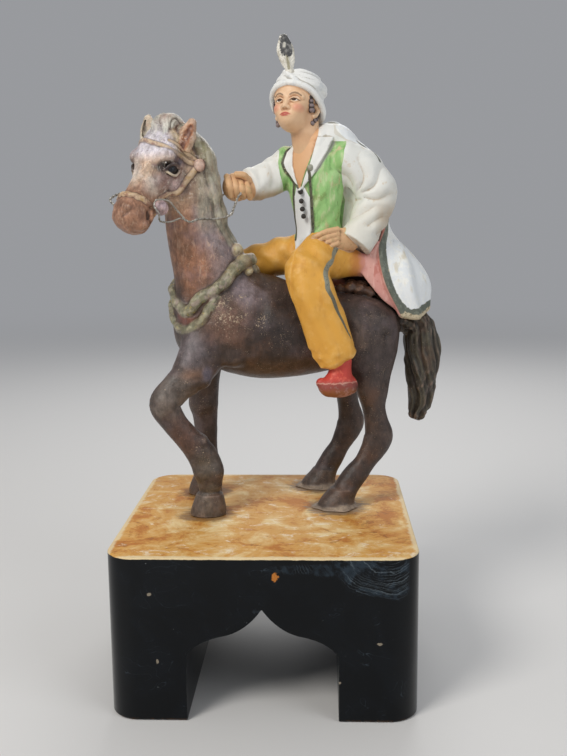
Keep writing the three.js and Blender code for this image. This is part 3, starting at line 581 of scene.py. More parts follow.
# The bridle's straps lie on the head: these rows are in the head's frame.
BROW_BAND = [[-9.4, 18.4, 0.4], [-6.4, 16.4, 0.6], [-3.8, 14.2, 1.9], [0.4, 13.6, 4.2], [5.6, 13.6, 6.1],
             [9, 11.8, 7.9], [9.8, 7.5, 10], [10.8, 3.4, 11.5], [10.3, -1.5, 12.6], [9.2, -5.8, 13.1],
             [7.2, -10.6, 13.1],
             [4, -13.2, 9.4], [0.4, -13.8, 5.6], [-3.8, -14.5, 2.5], [-8, -15.6, 0.6], [-15, -13.6, 0]]
EAR_CORD = [[-10.4, 18.4, 1.4], [-7, 16.4, 4], [-3, 14.6, 7], [1.5, 12.4, 10.4], [5, 9.6, 12.2]]
NOSE_BAND = [[11.6, 11, -28.7], [14.8, 10.9, -27.4], [18, 10.5, -25.8], [21.4, 10, -23.6], [24.6, 9.2, -21.4],
             [27.3, 7.4, -19.4], [28.6, 4.8, -18.6], [29, 2.2, -18.4], [29.2, 0, -18.4], [29, -2.2, -18.4],
             [28.6, -4.8, -18.6], [27.3, -7.4, -19.4], [24.6, -9.2, -21.4], [21.4, -10, -23.6], [18, -10.5, -25.8],
             [14.8, -10.9, -27.4], [11.6, -11, -28.7]]
CHEEK_STRAP = [[-9, 18, -1.6], [-8, 16.4, -3.4], [-6.9, 14.8, -6], [-4.4, 12.8, -9.4], [-1.8, 12.4, -12.7],
               [0.8, 11.9, -16], [6, 11, -19.2], [10.5, 11, -21.4]]


def locks(count, twist, depth):
    """Wavy locks of hair that run along a strand."""
    def ripple(angle, t):
        wave = count * angle + twist * np.sin(2 * math.pi * t * 1.3 + 0.8)
        return depth * (np.abs(np.sin(wave / 2)) * 2 - 1.2) + 0.25 * depth * np.sin(3 * wave + 9 * t)
    return ripple


def mane_waves(angle, t):
    wave = 2 * math.pi * 5.5 * t + 1.4 * np.cos(angle)
    return 0.5 * np.sin(wave) + 0.16 * np.sin(1.7 * wave + 2 * angle)


def leaves(count, height):
    """Leaves laid slantwise along a roll."""
    def ripple(angle, t):
        wave = 2 * math.pi * (count * t + 0.25 * np.sin(9 * t)) + 1.5 * angle
        return height * np.sin(wave) + 0.7 * height * np.sin(0.37 * wave - 2 * angle + 1)
    return ripple


def wobble(angle, t):
    return 0.8 * np.sin(3 * angle + 1) + 0.5 * np.sin(7 * angle)


def horse_parts():
    """Every shape of the horse by name, so that the paint can follow them too."""
    p = {}
    p["trunk"] = Strand([[-32, 0, 104, 20, 19], [-18, 0, 106, 26, 23], [0, 0, 106, 27, 25.5],
                         [20, 0, 105, 28, 27.5], [40, 0, 106, 28, 29], [60, 0, 110, 27, 28], [76, 0, 111, 22, 24],
                         [86, 0, 112, 15, 17]], ends=(0.65, 0.45))
    p["neck"] = Strand([[58, 0, 110, 21, 28], [66.5, 0, 131, 19, 26], [72.5, 0, 146, 16.5, 21],
                        [78, 0, 162, 14.5, 17.5], [80, 0.5, 176, 13, 16.5], [81, 1.5, 190, 12, 15.5],
                        [85, 3, 203, 11.5, 13.5], [89, 4, 213, 10, 9.5]], ends=(0.3, 0.8))
    p["withers"] = Blob([38, 0, 128], [17, 13, 11])
    p["mane"] = Strand(MANE, ripple=mane_waves)
    p["tail"] = Strand(TAIL, ends=(0.5, 1), ripple=locks(6, 2.4, 1.0))
    for name, sign, lead in (("near_hind", 1, 0), ("far_hind", -1, 6.5)):
        leg, hoof = hind_leg(sign, lead)
        p[name] = Strand(leg, ends=(0.3, 0.6))
        p[name + "_hoof"] = Strand(hoof, ends=(0.3, 0), upright=True)
        p[name + "_hock"] = Blob([-30 + lead, sign * 22.4, 44], [4.6, 4.4, 7])
        x, y = lead * 0.2, sign * 24
        p[name + "_plaster"] = Strand(
            [[x, y, 0.4, 12, 14], [x - 0.5, y, 1.6, 10.5, 12.4], [x - 1, y, 3, 8.5, 9.6]],
            ends=(0, 0), upright=True, ripple=wobble)
    p["stepping"] = Strand(STEPPING_LEG, ends=(0.3, 0.6))
    p["standing"] = Strand(STANDING_LEG, ends=(0.3, 0.6))
    for name, x, y in (("stepping_hoof", 77, 23), ("standing_hoof", 75, -23)):
        p[name] = Strand([[x - 1, y, 12, 7.4, 8], [x - 0.4, y, 5, 8.9, 10], [x, y, 0.4, 9.4, 10.7]],
                         ends=(0.3, 0), upright=True)
    p["skull"] = on_head(Strand([[-8, 0, 17, 10, 9], [-1, 0, 9, 13.5, 12.5], [3, 0, -1, 14, 14.5],
                                 [11, 0, -11, 9.5, 11.5], [18.5, 0, -18.5, 8.3, 9.8], [24, 0, -26, 11.2, 11.2],
                                 [26.5, 0, -30, 10.7, 10.7]]))
    p["forelock"] = on_head(Strand(FORELOCK, ripple=locks(5, 2.0, 0.7)))
    ears = {"near": [[-4, 11.5, 9, 6, 4], [-5.6, 14.6, 16.5, 5.8, 3.6], [-7.8, 16.8, 23.6, 3, 2]],
            "far": [[-4.4, -12.6, 12, 5.6, 4.2], [-5.6, -15, 20, 5.8, 3.8], [-8, -17.2, 28.4, 2.5, 1.8]]}
    hollows_in_ears = {"near": [[-0.6, 14.6, 9, 1.4, 1.2], [-1.4, 17, 14.5, 3, 2.1], [-4.6, 18.2, 20.8, 1.6, 1.2]],
                       "far": [[-2.2, -13.6, 14, 1.4, 1.2], [-3, -15.2, 20, 2.0, 1.4], [-5.8, -16.8, 26, 0.9, 0.8]]}
    for name, sign in SIDES:
        p[name + "_ear"] = on_head(Strand(ears[name], ends=(0.3, 0.9)))
        p[name + "_ear_hollow"] = on_head(Strand(hollows_in_ears[name], ends=(0.8, 0.8)))
        p[name + "_cheek"] = on_head(Blob([-5.5, sign * 6.8, -9.5], [12, 6.8, 12]))
        p[name + "_brow"] = on_head(Blob([8.2, sign * 10.8, 4.6], [5.2, 4.4, 4.6]))
        p[name + "_bit_pompom"] = on_head(Blob([14.9, sign * 11.6, -24.3], [4.3, 3.8, 4.3]))
    p["near_pompom"] = on_head(Blob([-8.8, 20.4, -0.6], [3.2, 3.2, 3.6]))
    p["far_pompom"] = on_head(Blob([-13, -16, -0.5], [3.6, 3.6, 3.6]))
    for i, (place, size) in enumerate((((-6, 9.5, 130.6), 3.4), ((-11.5, 11, 131.4), 4), ((-17, 12, 130.6), 4.2),
                                       ((-22.5, 12.5, 128.6), 4), ((-14, 5.5, 132.6), 4.4),
                                       ((-20, 6.5, 131.6), 4.4))):
        p[f"residue_{i}"] = Blob(place, [size, size, size * 0.8])
    eyes = {"near": ([5.2, 10.4, -3.0], 1), "far": ([8.6, -9.6, -2.6], -1)}
    for name, (centre, sign) in eyes.items():
        x, y, z = centre
        p[name + "_socket"] = on_head(Blob([x + 0.6, y + sign * 2.2, z], [5.2, 3, 3.4]))
        p[name + "_eye"] = on_head(Blob([x, y + sign * 0.4, z], [3.8, 3.3, 3.2]))
        upper = [[x + 5, y + sign * 0.6, z - 0.6], [x + 2.4, y + sign * 3.1, z + 2.4],
                 [x - 1.4, y + sign * 3.7, z + 2.4], [x - 4.8, y + sign * 3, z - 0.4]]
        lower = [[x + 5, y + sign * 0.6, z - 0.8], [x + 2, y + sign * 2.8, z - 3.1],
                 [x - 1.4, y + sign * 3.2, z - 3.4], [x - 4.8, y + sign * 3, z - 0.8]]
        p[name + "_upper_lid"] = on_head(Strand([r + [0.8] for r in upper]))
        p[name + "_lower_lid"] = on_head(Strand([r + [0.65] for r in lower]))
    p["near_nostril"] = Strand([[107.4, 33.2, 176.6, 0.55], [107, 33, 174.6, 0.95], [107.3, 32.4, 172.8, 0.6]])
    p["far_nostril"] = Strand([[115.5, 36.3, 178.4, 0.45], [117.6, 36.2, 176.8, 0.75], [119.6, 35.6, 175.4, 0.75],
                               [121.6, 34.4, 174.2, 0.45]])
    p["near_nostril_rim"] = Blob([110.6, 32.2, 178], [2.6, 2.9, 2.6])
    p["near_wing"] = Blob([105.4, 30.6, 174.4], [1.8, 2.4, 3.2])
    p["far_nostril_rim"] = Blob([117.4, 33.4, 179], [3.1, 2.7, 2.3])
    p["lip_lobe"] = Blob([114.2, 32.2, 174.4], [3.8, 3.6, 3.2])
    p["lower_lobe"] = Blob([110.8, 31.2, 169.6], [5, 3.4, 3.4])
    p["mouth"] = on_head(Strand([[20, 9.6, -34.6, 0.4], [26.5, 8, -38, 0.4], [31, 3.6, -38.6, 0.4],
                                 [32, -1, -38.4, 0.4], [29.5, -6, -37.8, 0.4], [24, -9, -36.4, 0.4]]))
    p["garland_upper"] = Strand([r + [3.6] for r in GARLAND_UPPER], side=(0, 0, 1), ripple=leaves(9, 0.26))
    p["garland_lower"] = Strand([r + [2.9] for r in GARLAND_LOWER], side=(0, 0, 1), ripple=leaves(6, 0.24))
    p["knot"] = Blob([52.4, 12.6, 147.4], [4.6, 4.2, 4.6])
    p["knot_top"] = Blob([55.4, 9, 153.4], [3.6, 3.6, 5])
    p["knot_low"] = Blob([49.4, 13.2, 142.6], [2.8, 2.8, 2.6])
    p["shoulder_groove"] = Strand([[41, 17, 135, 2.6], [43.4, 25.5, 123, 3.2], [45, 30, 114, 3.2],
                                   [47.5, 31, 105, 3], [50, 29, 96, 2.6]])
    p["shoulder_swell"] = Blob([62, 15, 112], [14, 12, 19], turned(0, -22))
    p["elbow"] = Blob([60, 20, 93], [7, 5.5, 6])
    p["flank_hollow"] = Strand([[-4, 25.5, 122, 3], [-5, 30, 108, 3.2], [-4, 31, 94, 3], [-2, 28, 84, 2.4]])
    p["thigh_groove"] = Strand([[-31, 26.5, 104, 2], [-34, 29, 90, 2], [-32, 27, 76, 2]])
    p["forearm"] = Blob([83, 23.5, 84], [10.5, 4.6, 6.5], turned(0, -38))
    p["stepping_knee"] = Blob([101, 24, 68], [6.4, 6.6, 7.4])
    p["stepping_fetlock"] = Blob([76.2, 24, 26], [8.4, 7, 6.6])
    p["spur"] = Blob([79.6, 24, 44.5], [3, 4.6, 3.4])
    p["standing_knee"] = Blob([75.5, -21.5, 59], [8.2, 7.2, 8])
    p["near_gaskin"] = Blob([-22, 22.5, 72], [8.5, 6.2, 13], turned(0, 12))
    p["near_haunch"] = Blob([-22, 14, 104], [17, 13, 20])
    p["far_haunch"] = Blob([-20, -14, 104], [17, 13, 20])
    p["spine_groove"] = Strand([[20, 0, 136, 2], [0, 0, 135, 2], [-20, 0, 133.5, 2], [-38, 0, 127, 2]])
    return p


def bare_horse(parts):
    return Sculpture(parts, " ".join([
        "trunk+0 neck+9 withers+6 shoulder_swell+6 near_haunch+6 far_haunch+6",
        "near_hind+5 far_hind+5 stepping+5 standing+5 elbow+4 forearm+3 stepping_knee+3 stepping_fetlock+2.5",
        "spur+2.5 standing_knee+3 near_gaskin+3 shoulder_groove-4 flank_hollow-5 thigh_groove-3",
        both("_hind_hock+3 _hind_hoof+3 _hind_plaster+1.5"), "stepping_hoof+3 standing_hoof+3 tail+3 skull+3",
        both("_cheek+2 _brow+3"), "mane+1.6 forelock+1.6",
        both("_ear+1.6 _ear_hollow-0.8 _socket-2 _eye+0.2 _upper_lid+0.9 _lower_lid+0.9"),
        "near_nostril_rim+1.2 far_nostril_rim+1.2 near_wing+1.2 lip_lobe+1.4 lower_lobe+1.4",
        "near_nostril-0.7 far_nostril-0.7 mouth-0.6", numbered(6, "residue_#+1.2")]))


def bridle_parts(bare):
    """The straps, laid on the bare head."""
    def lay(rows, width, **more):
        middle = laid_on(bare, out_of_frame(rows, HEAD_PLACE), 0.25 * width)
        return Strand([r + [width] for r in middle], **more)

    far_side = [[r[0], -r[1], r[2]] for r in CHEEK_STRAP]
    return {"brow_band": lay(BROW_BAND, 1.25), "ear_cord": lay(EAR_CORD, 0.9),
            "nose_band": lay(NOSE_BAND, 1.9, ripple=leaves(13, 0.22)),
            "near_cheek_strap": lay(CHEEK_STRAP, 1.75), "far_cheek_strap": lay(far_side, 1.75)}


HORSE = horse_parts()
HORSE.update(bridle_parts(bare_horse(HORSE)))


def horse_sculpture():
    ground = {"ground": Half([0, 0, 0.02], [0, 0, 1])}
    return bare_horse(HORSE).follow({**HORSE, **ground}, " ".join([
        "near_cheek_strap+0.8 far_cheek_strap+0.8 brow_band+0.5 ear_cord+0.4 nose_band+0.6",
        both("_pompom+0.4 _bit_pompom+0.4"), "garland_lower+1.2 garland_upper+1 knot+2 knot_top+2 knot_low+1.5",
        "ground-0"]))


# Rider. The chest is turned to the left of the way the horse goes; the head has a frame of its own, which
# looks up and to the left: x out of the face, y to its left, z up.
CHEST_FACING = np.array([math.cos(math.radians(53)), math.sin(math.radians(53)), 0])
CHEST_LEFT = np.array([-math.sin(math.radians(53)), math.cos(math.radians(53)), 0])
CURLS = 7
FACE_PLACE = ((18.5, 0.5, 239.7), turned(55, -16))


def by_torso(left, back, height):
    """A point near the spine: so far to the rider's left, so far back, at this height."""
    point = np.array([5, 0, 0]) + left * CHEST_LEFT - back * CHEST_FACING
    return [point[0], point[1], height]


def on_face(shape):
    return Placed(shape, *FACE_PLACE)


def folds(count, depth, sharp=0.35, lean=2.2, start=0.0):
    """Cloth folds across a limb: count creases, leaning round it."""
    def ripple(angle, t):
        wave = 2 * math.pi * (count * t + start) + lean * np.sin(angle)
        return depth * (np.sin(wave) + sharp * np.sin(2 * wave + 1.1 * np.sin(angle + 0.7)))
    return ripple


def lengthways(count, depth, turn=0.0):
    def ripple(angle, t):
        wave = count * angle + turn * t
        return depth * (np.sin(wave) + 0.4 * np.sin(2 * wave + 4 * t))
    return ripple


# The front of the clothes is laid out on a chart: how far to the rider's left, and height.
FAR_TRIM = [[-14, 216], [-16.8, 211.5], [-17.9, 205], [-15.6, 199.4], [-12.4, 196.2], [-10, 193], [-11.4, 184],
            [-12.2, 172],
            [-11.7, 160]]
NEAR_TRIM = [[0.2, 201.5], [1.4, 197.5], [1.2, 194], [1.5, 184], [1.4, 172], [1.9, 160]]
V_TRIM = [[-10, 193.6], [-8, 191.6], [-6.4, 189.4]]
COLLAR_HEIGHTS = [187, 191, 195, 199, 203, 207, 211, 215, 219]
FAR_COLLAR = ([-7.2, -8.2, -11.6, -15.4, -17.2, -17.6, -16.8, -15, -12],
              [-6, -7, -8.4, -9.6, -11, -11.6, -12, -12, -11])
NEAR_COLLAR = ([-6, -4.2, -2.8, -1.2, 0.6, 1.6, 2.4, 3.2, 4], [-4.8, -2.6, 1.4, 4.6, 7.4, 9.2, 10.8, 12, 12.5])


def chest_chart(points):
    """How far to the rider's left and how far forward of the spine each point lies."""
    d = points[:, :2] - np.array([5, 0])
    return d @ CHEST_LEFT[:2], d @ CHEST_FACING[:2]


def chart_line(left, height, rows):
    """Distance on the chart to a line."""
    out = np.full(len(left), float(FAR_AWAY))
    for (a, b), (c, d) in zip(rows, rows[1:]):
        run = np.hypot(c - a, d - b)
        t = np.clip(((left - a) * (c - a) + (height - b) * (d - b)) / run**2, 0, 1)
        out = np.minimum(out, np.hypot(left - a - t * (c - a), height - b - t * (d - b)))
    return out


def between(left, height, sides):
    low, high = [np.interp(height, COLLAR_HEIGHTS, side) for side in sides]
    inside = np.minimum(left - low, high - left)
    return np.minimum(inside, np.minimum(height - 188, 219 - height))


def front_fields(points):
    """On the front of the chest: the collar flaps (+ inside), the trim (distance) and the white shirt front."""
    left, forward = chest_chart(points)
    z = points[:, 2]
    front = forward - 3.5
    collar = np.maximum(between(left, z, FAR_COLLAR), between(left, z, NEAR_COLLAR))
    trim = np.minimum(chart_line(left, z, FAR_TRIM), chart_line(left, z, NEAR_TRIM))
    trim = np.minimum(trim, chart_line(left, z, V_TRIM) + 0.4)
    far = np.interp(z, [160, 172, 184, 191], [-11.2, -11.6, -10.9, -8.4])
    near = np.interp(z, [160, 184, 191], [1.4, 1.0, -3.0])
    shirt = np.minimum(np.minimum(left - far, near - left), 191 - z)
    return np.minimum(collar, front), np.where(front > 0, trim, 9), np.minimum(shirt, front)


class Coat:
    """The open coat as a thick curved sheet with folds. Its rows run from the near front edge round the back
    to the far front edge, and go from the shoulders down to the hem over the croup."""

    COLUMNS, LEVELS = 220, 140

    def __init__(self, rows, thickness):
        lines = [curve_through(row, self.COLUMNS) for row in rows]
        grid = np.stack([curve_through([line[j] for line in lines], self.LEVELS) for j in range(self.COLUMNS)], 1)
        across = np.linspace(0, 1, self.COLUMNS)[None, :]
        down = np.linspace(0, 1, self.LEVELS)[:, None]
        spread = ramp(0.3, 0.95, down)
        wave = 2 * math.pi * 5 * (across + 0.03 * np.sin(7 * down))
        pleat = 1.0 * spread * (np.sin(wave) + 0.35 * np.sin(2 * wave + 1))
        high = ramp(0.45, 0.1, down)
        pleat = pleat + 0.4 * high * np.sin(2 * math.pi * (3 * down + 1.3 * across))
        grid = grid + self.outward(grid) * pleat[:, :, None]
        self.points = grid.reshape(-1, 3).astype(F32)
        self.normals = self.outward(grid).reshape(-1, 3).astype(F32)
        run = np.cumsum(np.linalg.norm(np.diff(grid, axis=1, prepend=grid[:, :1]), axis=2), axis=1)
        fall = np.cumsum(np.linalg.norm(np.diff(grid, axis=0, prepend=grid[:1]), axis=2), axis=0)
        self.run = np.minimum(run, run[:, -1:] - run).ravel()
        self.fall = (fall[-1:] - fall).ravel()
        half = thickness * (0.5 + 0.2 * ramp(0.8, 1, down) * ramp(0.5, 0.1, across))
        self.half = half.ravel().astype(F32)
        self.tree = KDTree(len(self.points))
        for i, point in enumerate(self.points):
            self.tree.insert(point, i)
        self.tree.balance()

    @staticmethod
    def outward(grid):
        normal = np.cross(np.gradient(grid, axis=1), np.gradient(grid, axis=0))
        return normal / np.linalg.norm(normal, axis=2)[:, :, None]

    def nearest(self, p):
        find = self.tree.find
        return np.array([find(point)[1] for point in p], int)

    def __call__(self, p):
        i = self.nearest(p)
        d = p - self.points[i]
        height = (d * self.normals[i]).sum(1)
        aside = np.sqrt(np.maximum((d**2).sum(1) - height**2, 0))
        return np.sqrt(height**2 + np.maximum(aside - 0.45, 0) ** 2) - self.half[i]


def coat_rows():
    def row(height, points):
        return [[p[0], p[1], height + (p[2] if len(p) > 2 else 0)] for p in points]

    collar = [by_torso(17, 2, 219), by_torso(13, 8, 224), by_torso(7, 11, 227), by_torso(0, 12.5, 227),
              by_torso(-8, 11.5, 222), by_torso(-14, 9, 215), by_torso(-18, 5, 209)]
    back = row(208, [[-27, 6], [-27, -3], [-21, -11], [-11, -16], [0, -18, -2], [10, -19, -6], [17, -17, -9]])
    blades = row(188, [[-36, 5], [-35, -4], [-29, -12], [-19, -17], [-7, -20, -2], [5, -21, -4], [14, -19, -5]])
    waist = row(168, [[-34, 8], [-37, -1], [-33, -10], [-23, -16], [-11, -20, -1], [2, -22, -2], [12, -21, -2]])
    seat = row(152, [[-29.5, 14], [-42, 8, 1], [-49, -2, 1], [-46, -14, -1], [-33, -22, -3], [-15, -27, -5],
                     [2, -27, -5]])
    skirt = row(134, [[-32.5, 18.5], [-46, 15], [-61, 2, 1], [-57, -14], [-43, -26, -2], [-25, -31, -3],
                      [-8, -30, -2]])
    hem = row(118, [[-43, 18.5, -2], [-53, 13, -4], [-61, 3], [-58, -12, 2], [-46, -24, 4], [-31, -30, 5],
                    [-17, -29, 7]])
    return [collar, back, blades, waist, seat, skirt, hem]


def rider_parts():
    p = {}
    left = tuple(CHEST_LEFT)
    p["torso"] = Strand([[3, 0, 152, 18, 14], [5, 0, 166, 13.8, 11], [6, 0, 176, 14.5, 11],
                         [6.5, 0, 190, 17.5, 12.5], [7, 0, 201, 18.5, 12.5], [8, 0, 210, 16.5, 10.5],
                         [9.5, 0, 217, 10.5, 8.5]], side=left)
    p["yoke"] = Blob([-3.5, 1.5, 217.5], [13, 10.5, 10])
    p["shirt_front"] = Strand([by_torso(-4.5, -11.6, 196) + [3.4, 2.2], by_torso(-4.8, -11.4, 180) + [4.4, 2.2],
                               by_torso(-5, -10.8, 162) + [4.4, 2.2]], side=left)
    p["nape_collar"] = Strand([
        [7, 10.2, 215, 1, 0.8], [4.6, 8.6, 220, 1.8, 1.6], [1.6, 3.5, 224.6, 2.4, 2.2], [1.2, -4, 225.6, 2.4, 2.2],
        [7, -9.5, 223, 2.2, 2], [14, -10.2, 218.5, 2, 1.8], [19.5, -8.5, 213.5, 1.4, 1.2]
    ], side=left)
    buttons = [[17.0, 8.4, 187.6], [16.6, 8.6, 182.4], [16.0, 8.7, 177.8], [15.4, 8.8, 173.6]]
    for i, place in enumerate(buttons):
        p[f"button_{i}"] = Blob(np.array(place) + 0.9 * CHEST_FACING, [1.25, 1.25, 1.25])
    p["shirt_knot"] = Blob([12.6, 12.6, 201.4], [0.8, 0.8, 1])

    p["reaching"] = Strand([[20, -11, 206, 10, 10], [29.5, -10.5, 198, 10, 11.2], [38, -7, 194.5, 9.5, 10.2],
                            [45.5, -3.5, 192, 9, 9.8]], ripple=folds(3, 0.2), ends=(0.8, 0.25))
    p["akimbo_upper"] = Strand([[-8, 9.5, 207, 10, 10.5], [-19, 9, 200, 11.5, 12.5], [-28, 9, 188, 12, 12.6]])
    p["akimbo_lower"] = Strand([[-29, 9, 187, 11.5, 12.2], [-24, 12, 174, 10, 11], [-16, 15, 161, 8, 10]],
                               ends=(0.8, 0.25))
    p["cuff"] = Strand([[-19, 14.2, 165, 9, 10.6], [-13.4, 15.8, 157.6, 9.2, 11]], ends=(0.4, 0.1))
    p["fist"] = Blob([54.5, 0, 191], [8, 6.5, 8.4])
    p["fist_wrist"] = Strand([[46, -2, 191, 6, 6.5], [52, -1, 191, 6, 7]])
    for i in range(4):
        x = 60 - i * 3.6
        p[f"knuckle_{i}"] = Strand([[x, 2.6, 197 - i * 0.8, 1.9], [x - 1, 7.4, 191.5 - i * 0.8, 2.0],
                                    [x - 2.4, 4.6, 185.6 - i * 0.4, 1.8]], side=(1, 0, 0))
    p["thumb"] = Strand([[47.5, 2.5, 194.5, 2.2], [50.5, 5.8, 197.4, 2.1], [55, 6.4, 198, 1.8]], side=(1, 0, 0))
    p["palm"] = Strand([[-13, 16, 160, 3.6, 6.5], [-5, 18, 160.5, 3.4, 6.2], [2, 18.5, 161, 3, 5.6]])
    for i in range(4):
        drop = i * 2.6
        p[f"finger_{i}"] = Strand([[-2, 21.2, 166 - drop, 1.7], [5, 22.4, 164.6 - drop * 1.2, 1.6],
                                   [12.4 - i, 20.8, 161.6 - drop * 1.35, 1.35]])
    near_thigh = [[-3, 4, 150, 12, 14], [9, 16, 149, 12, 13], [18, 25, 142, 11, 12]]
    near_shin = [[18.5, 27, 140, 10, 12], [15, 31, 131, 9.5, 12.6], [9, 32, 114.5, 9.5, 13.2],
                 [3.5, 33, 98, 9.5, 12.6], [1, 33, 92, 9, 11.6]]
    far_thigh = [[4, -6, 150, 12, 13], [24, -13, 150, 11, 11.5], [44, -23, 144, 10.5, 11]]
    far_shin = [[45, -26, 141, 10, 11], [42, -31, 131, 9.5, 12.6], [36, -32, 116, 9.5, 13.2],
                [31, -33, 101, 9.5, 12.6], [28.5, -33, 96, 9, 11.6]]
    for side, thigh, shin, (x, y, z), out in (("near", near_thigh, near_shin, (-1, 32.5, 84.5), 2),
                                              ("far", far_thigh, far_shin, (26, -32.5, 88.5), -2)):
        p[side + "_thigh"] = Strand(thigh, ripple=folds(2, 0.35))
        p[side + "_shin"] = Strand(shin, ripple=lengthways(4, 0.35, 3), ends=(0.8, 0.45))
        p[side + "_boot_top"] = Strand([[x, y, z + 6, 6, 6.6], [x, y, z, 5.6, 6.4], [x, y, z - 7, 6, 7]])
        p[side + "_foot"] = Strand([[x - 6.6, y - out, z - 8.8, 5.4, 5.4], [x - 0.5, y, z - 9.6, 6.4, 6],
                                    [x + 7, y + out, z - 9.4, 5.4, 5.2]], ends=(0.7, 1))
        toe = [[x + 4, y + out, z - 8.4, 5.4], [x + 9, y + out * 1.3, z - 8, 4.4],
               [x + 12.6, y + out * 1.5, z - 5.8, 2.7]]
        p[side + "_toe"] = Strand(toe)
        p[side + "_instep"] = Strand([[x, y, z - 2, 5.6], [x + 4.5, y + out * 0.6, z - 5.6, 5]])
    p["lining"] = Strand([
        [-19, 11.6, 161, 8, 1.3], [-21.4, 12.6, 153, 8.6, 1.3], [-24.4, 14, 144, 7.6, 1.3],
        [-28.4, 15.8, 135, 5.6, 1.3],
        [-34, 17, 126, 4, 1.3], [-40, 17.6, 119.5, 2.4, 1.2]
    ], side=(1, -0.25, 0))
    p["seat_pad"] = Strand([[-4, 8, 149, 8, 9], [-13, 8, 147, 7.6, 9], [-21, 8, 145, 6, 7.6]])
    p["filling"] = Strand([[-6, -5, 214, 15, 8], [-12, -7, 200, 18, 9], [-14, -7, 184, 17, 10],
                           [-14, -7, 168, 16, 11], [-16, -6, 148, 16, 12]], side=left)
    p["coat"] = Coat(coat_rows(), 3.6)
    p["crook"] = Strand([[-12.5, 6, 190, 1.6], [-13.2, 8, 184.5, 1.8], [-12, 9, 178, 1.4]])
    return p


RIDER = rider_parts()


def rider_sculpture():
    seat = {"horse": Grown(horse_sculpture(), SEAT_GAP)}
    return Sculpture({**RIDER, **seat}, " ".join([
        "torso+0 yoke+4 reaching+3 akimbo_upper+3 akimbo_lower+2.5 crook-3 filling+4",
        both("_thigh+5"), both("_shin+4"), "seat_pad+6 lining+1 coat+1.4 nape_collar+1.5 shirt_knot+0.5",
        numbered(4, "button_#+0.3"), "cuff+0.6 fist+2 fist_wrist+2 palm+1.2",
        numbered(4, "finger_#+0.4 knuckle_#+0.35"), "thumb+0.7",
        both("_boot_top+0.5 _foot+3 _instep+3 _toe+3"), "horse-0.3"]))


def turban_wraps(angle, t):
    """Cloth wound round the head: soft rolls that cross over at the front."""
    wave = 2 * math.pi * 2.6 * t + 2.6 * np.sin(angle + 0.9)
    return 0.5 * np.sin(wave) + 0.22 * np.sin(2 * wave + 1.2)


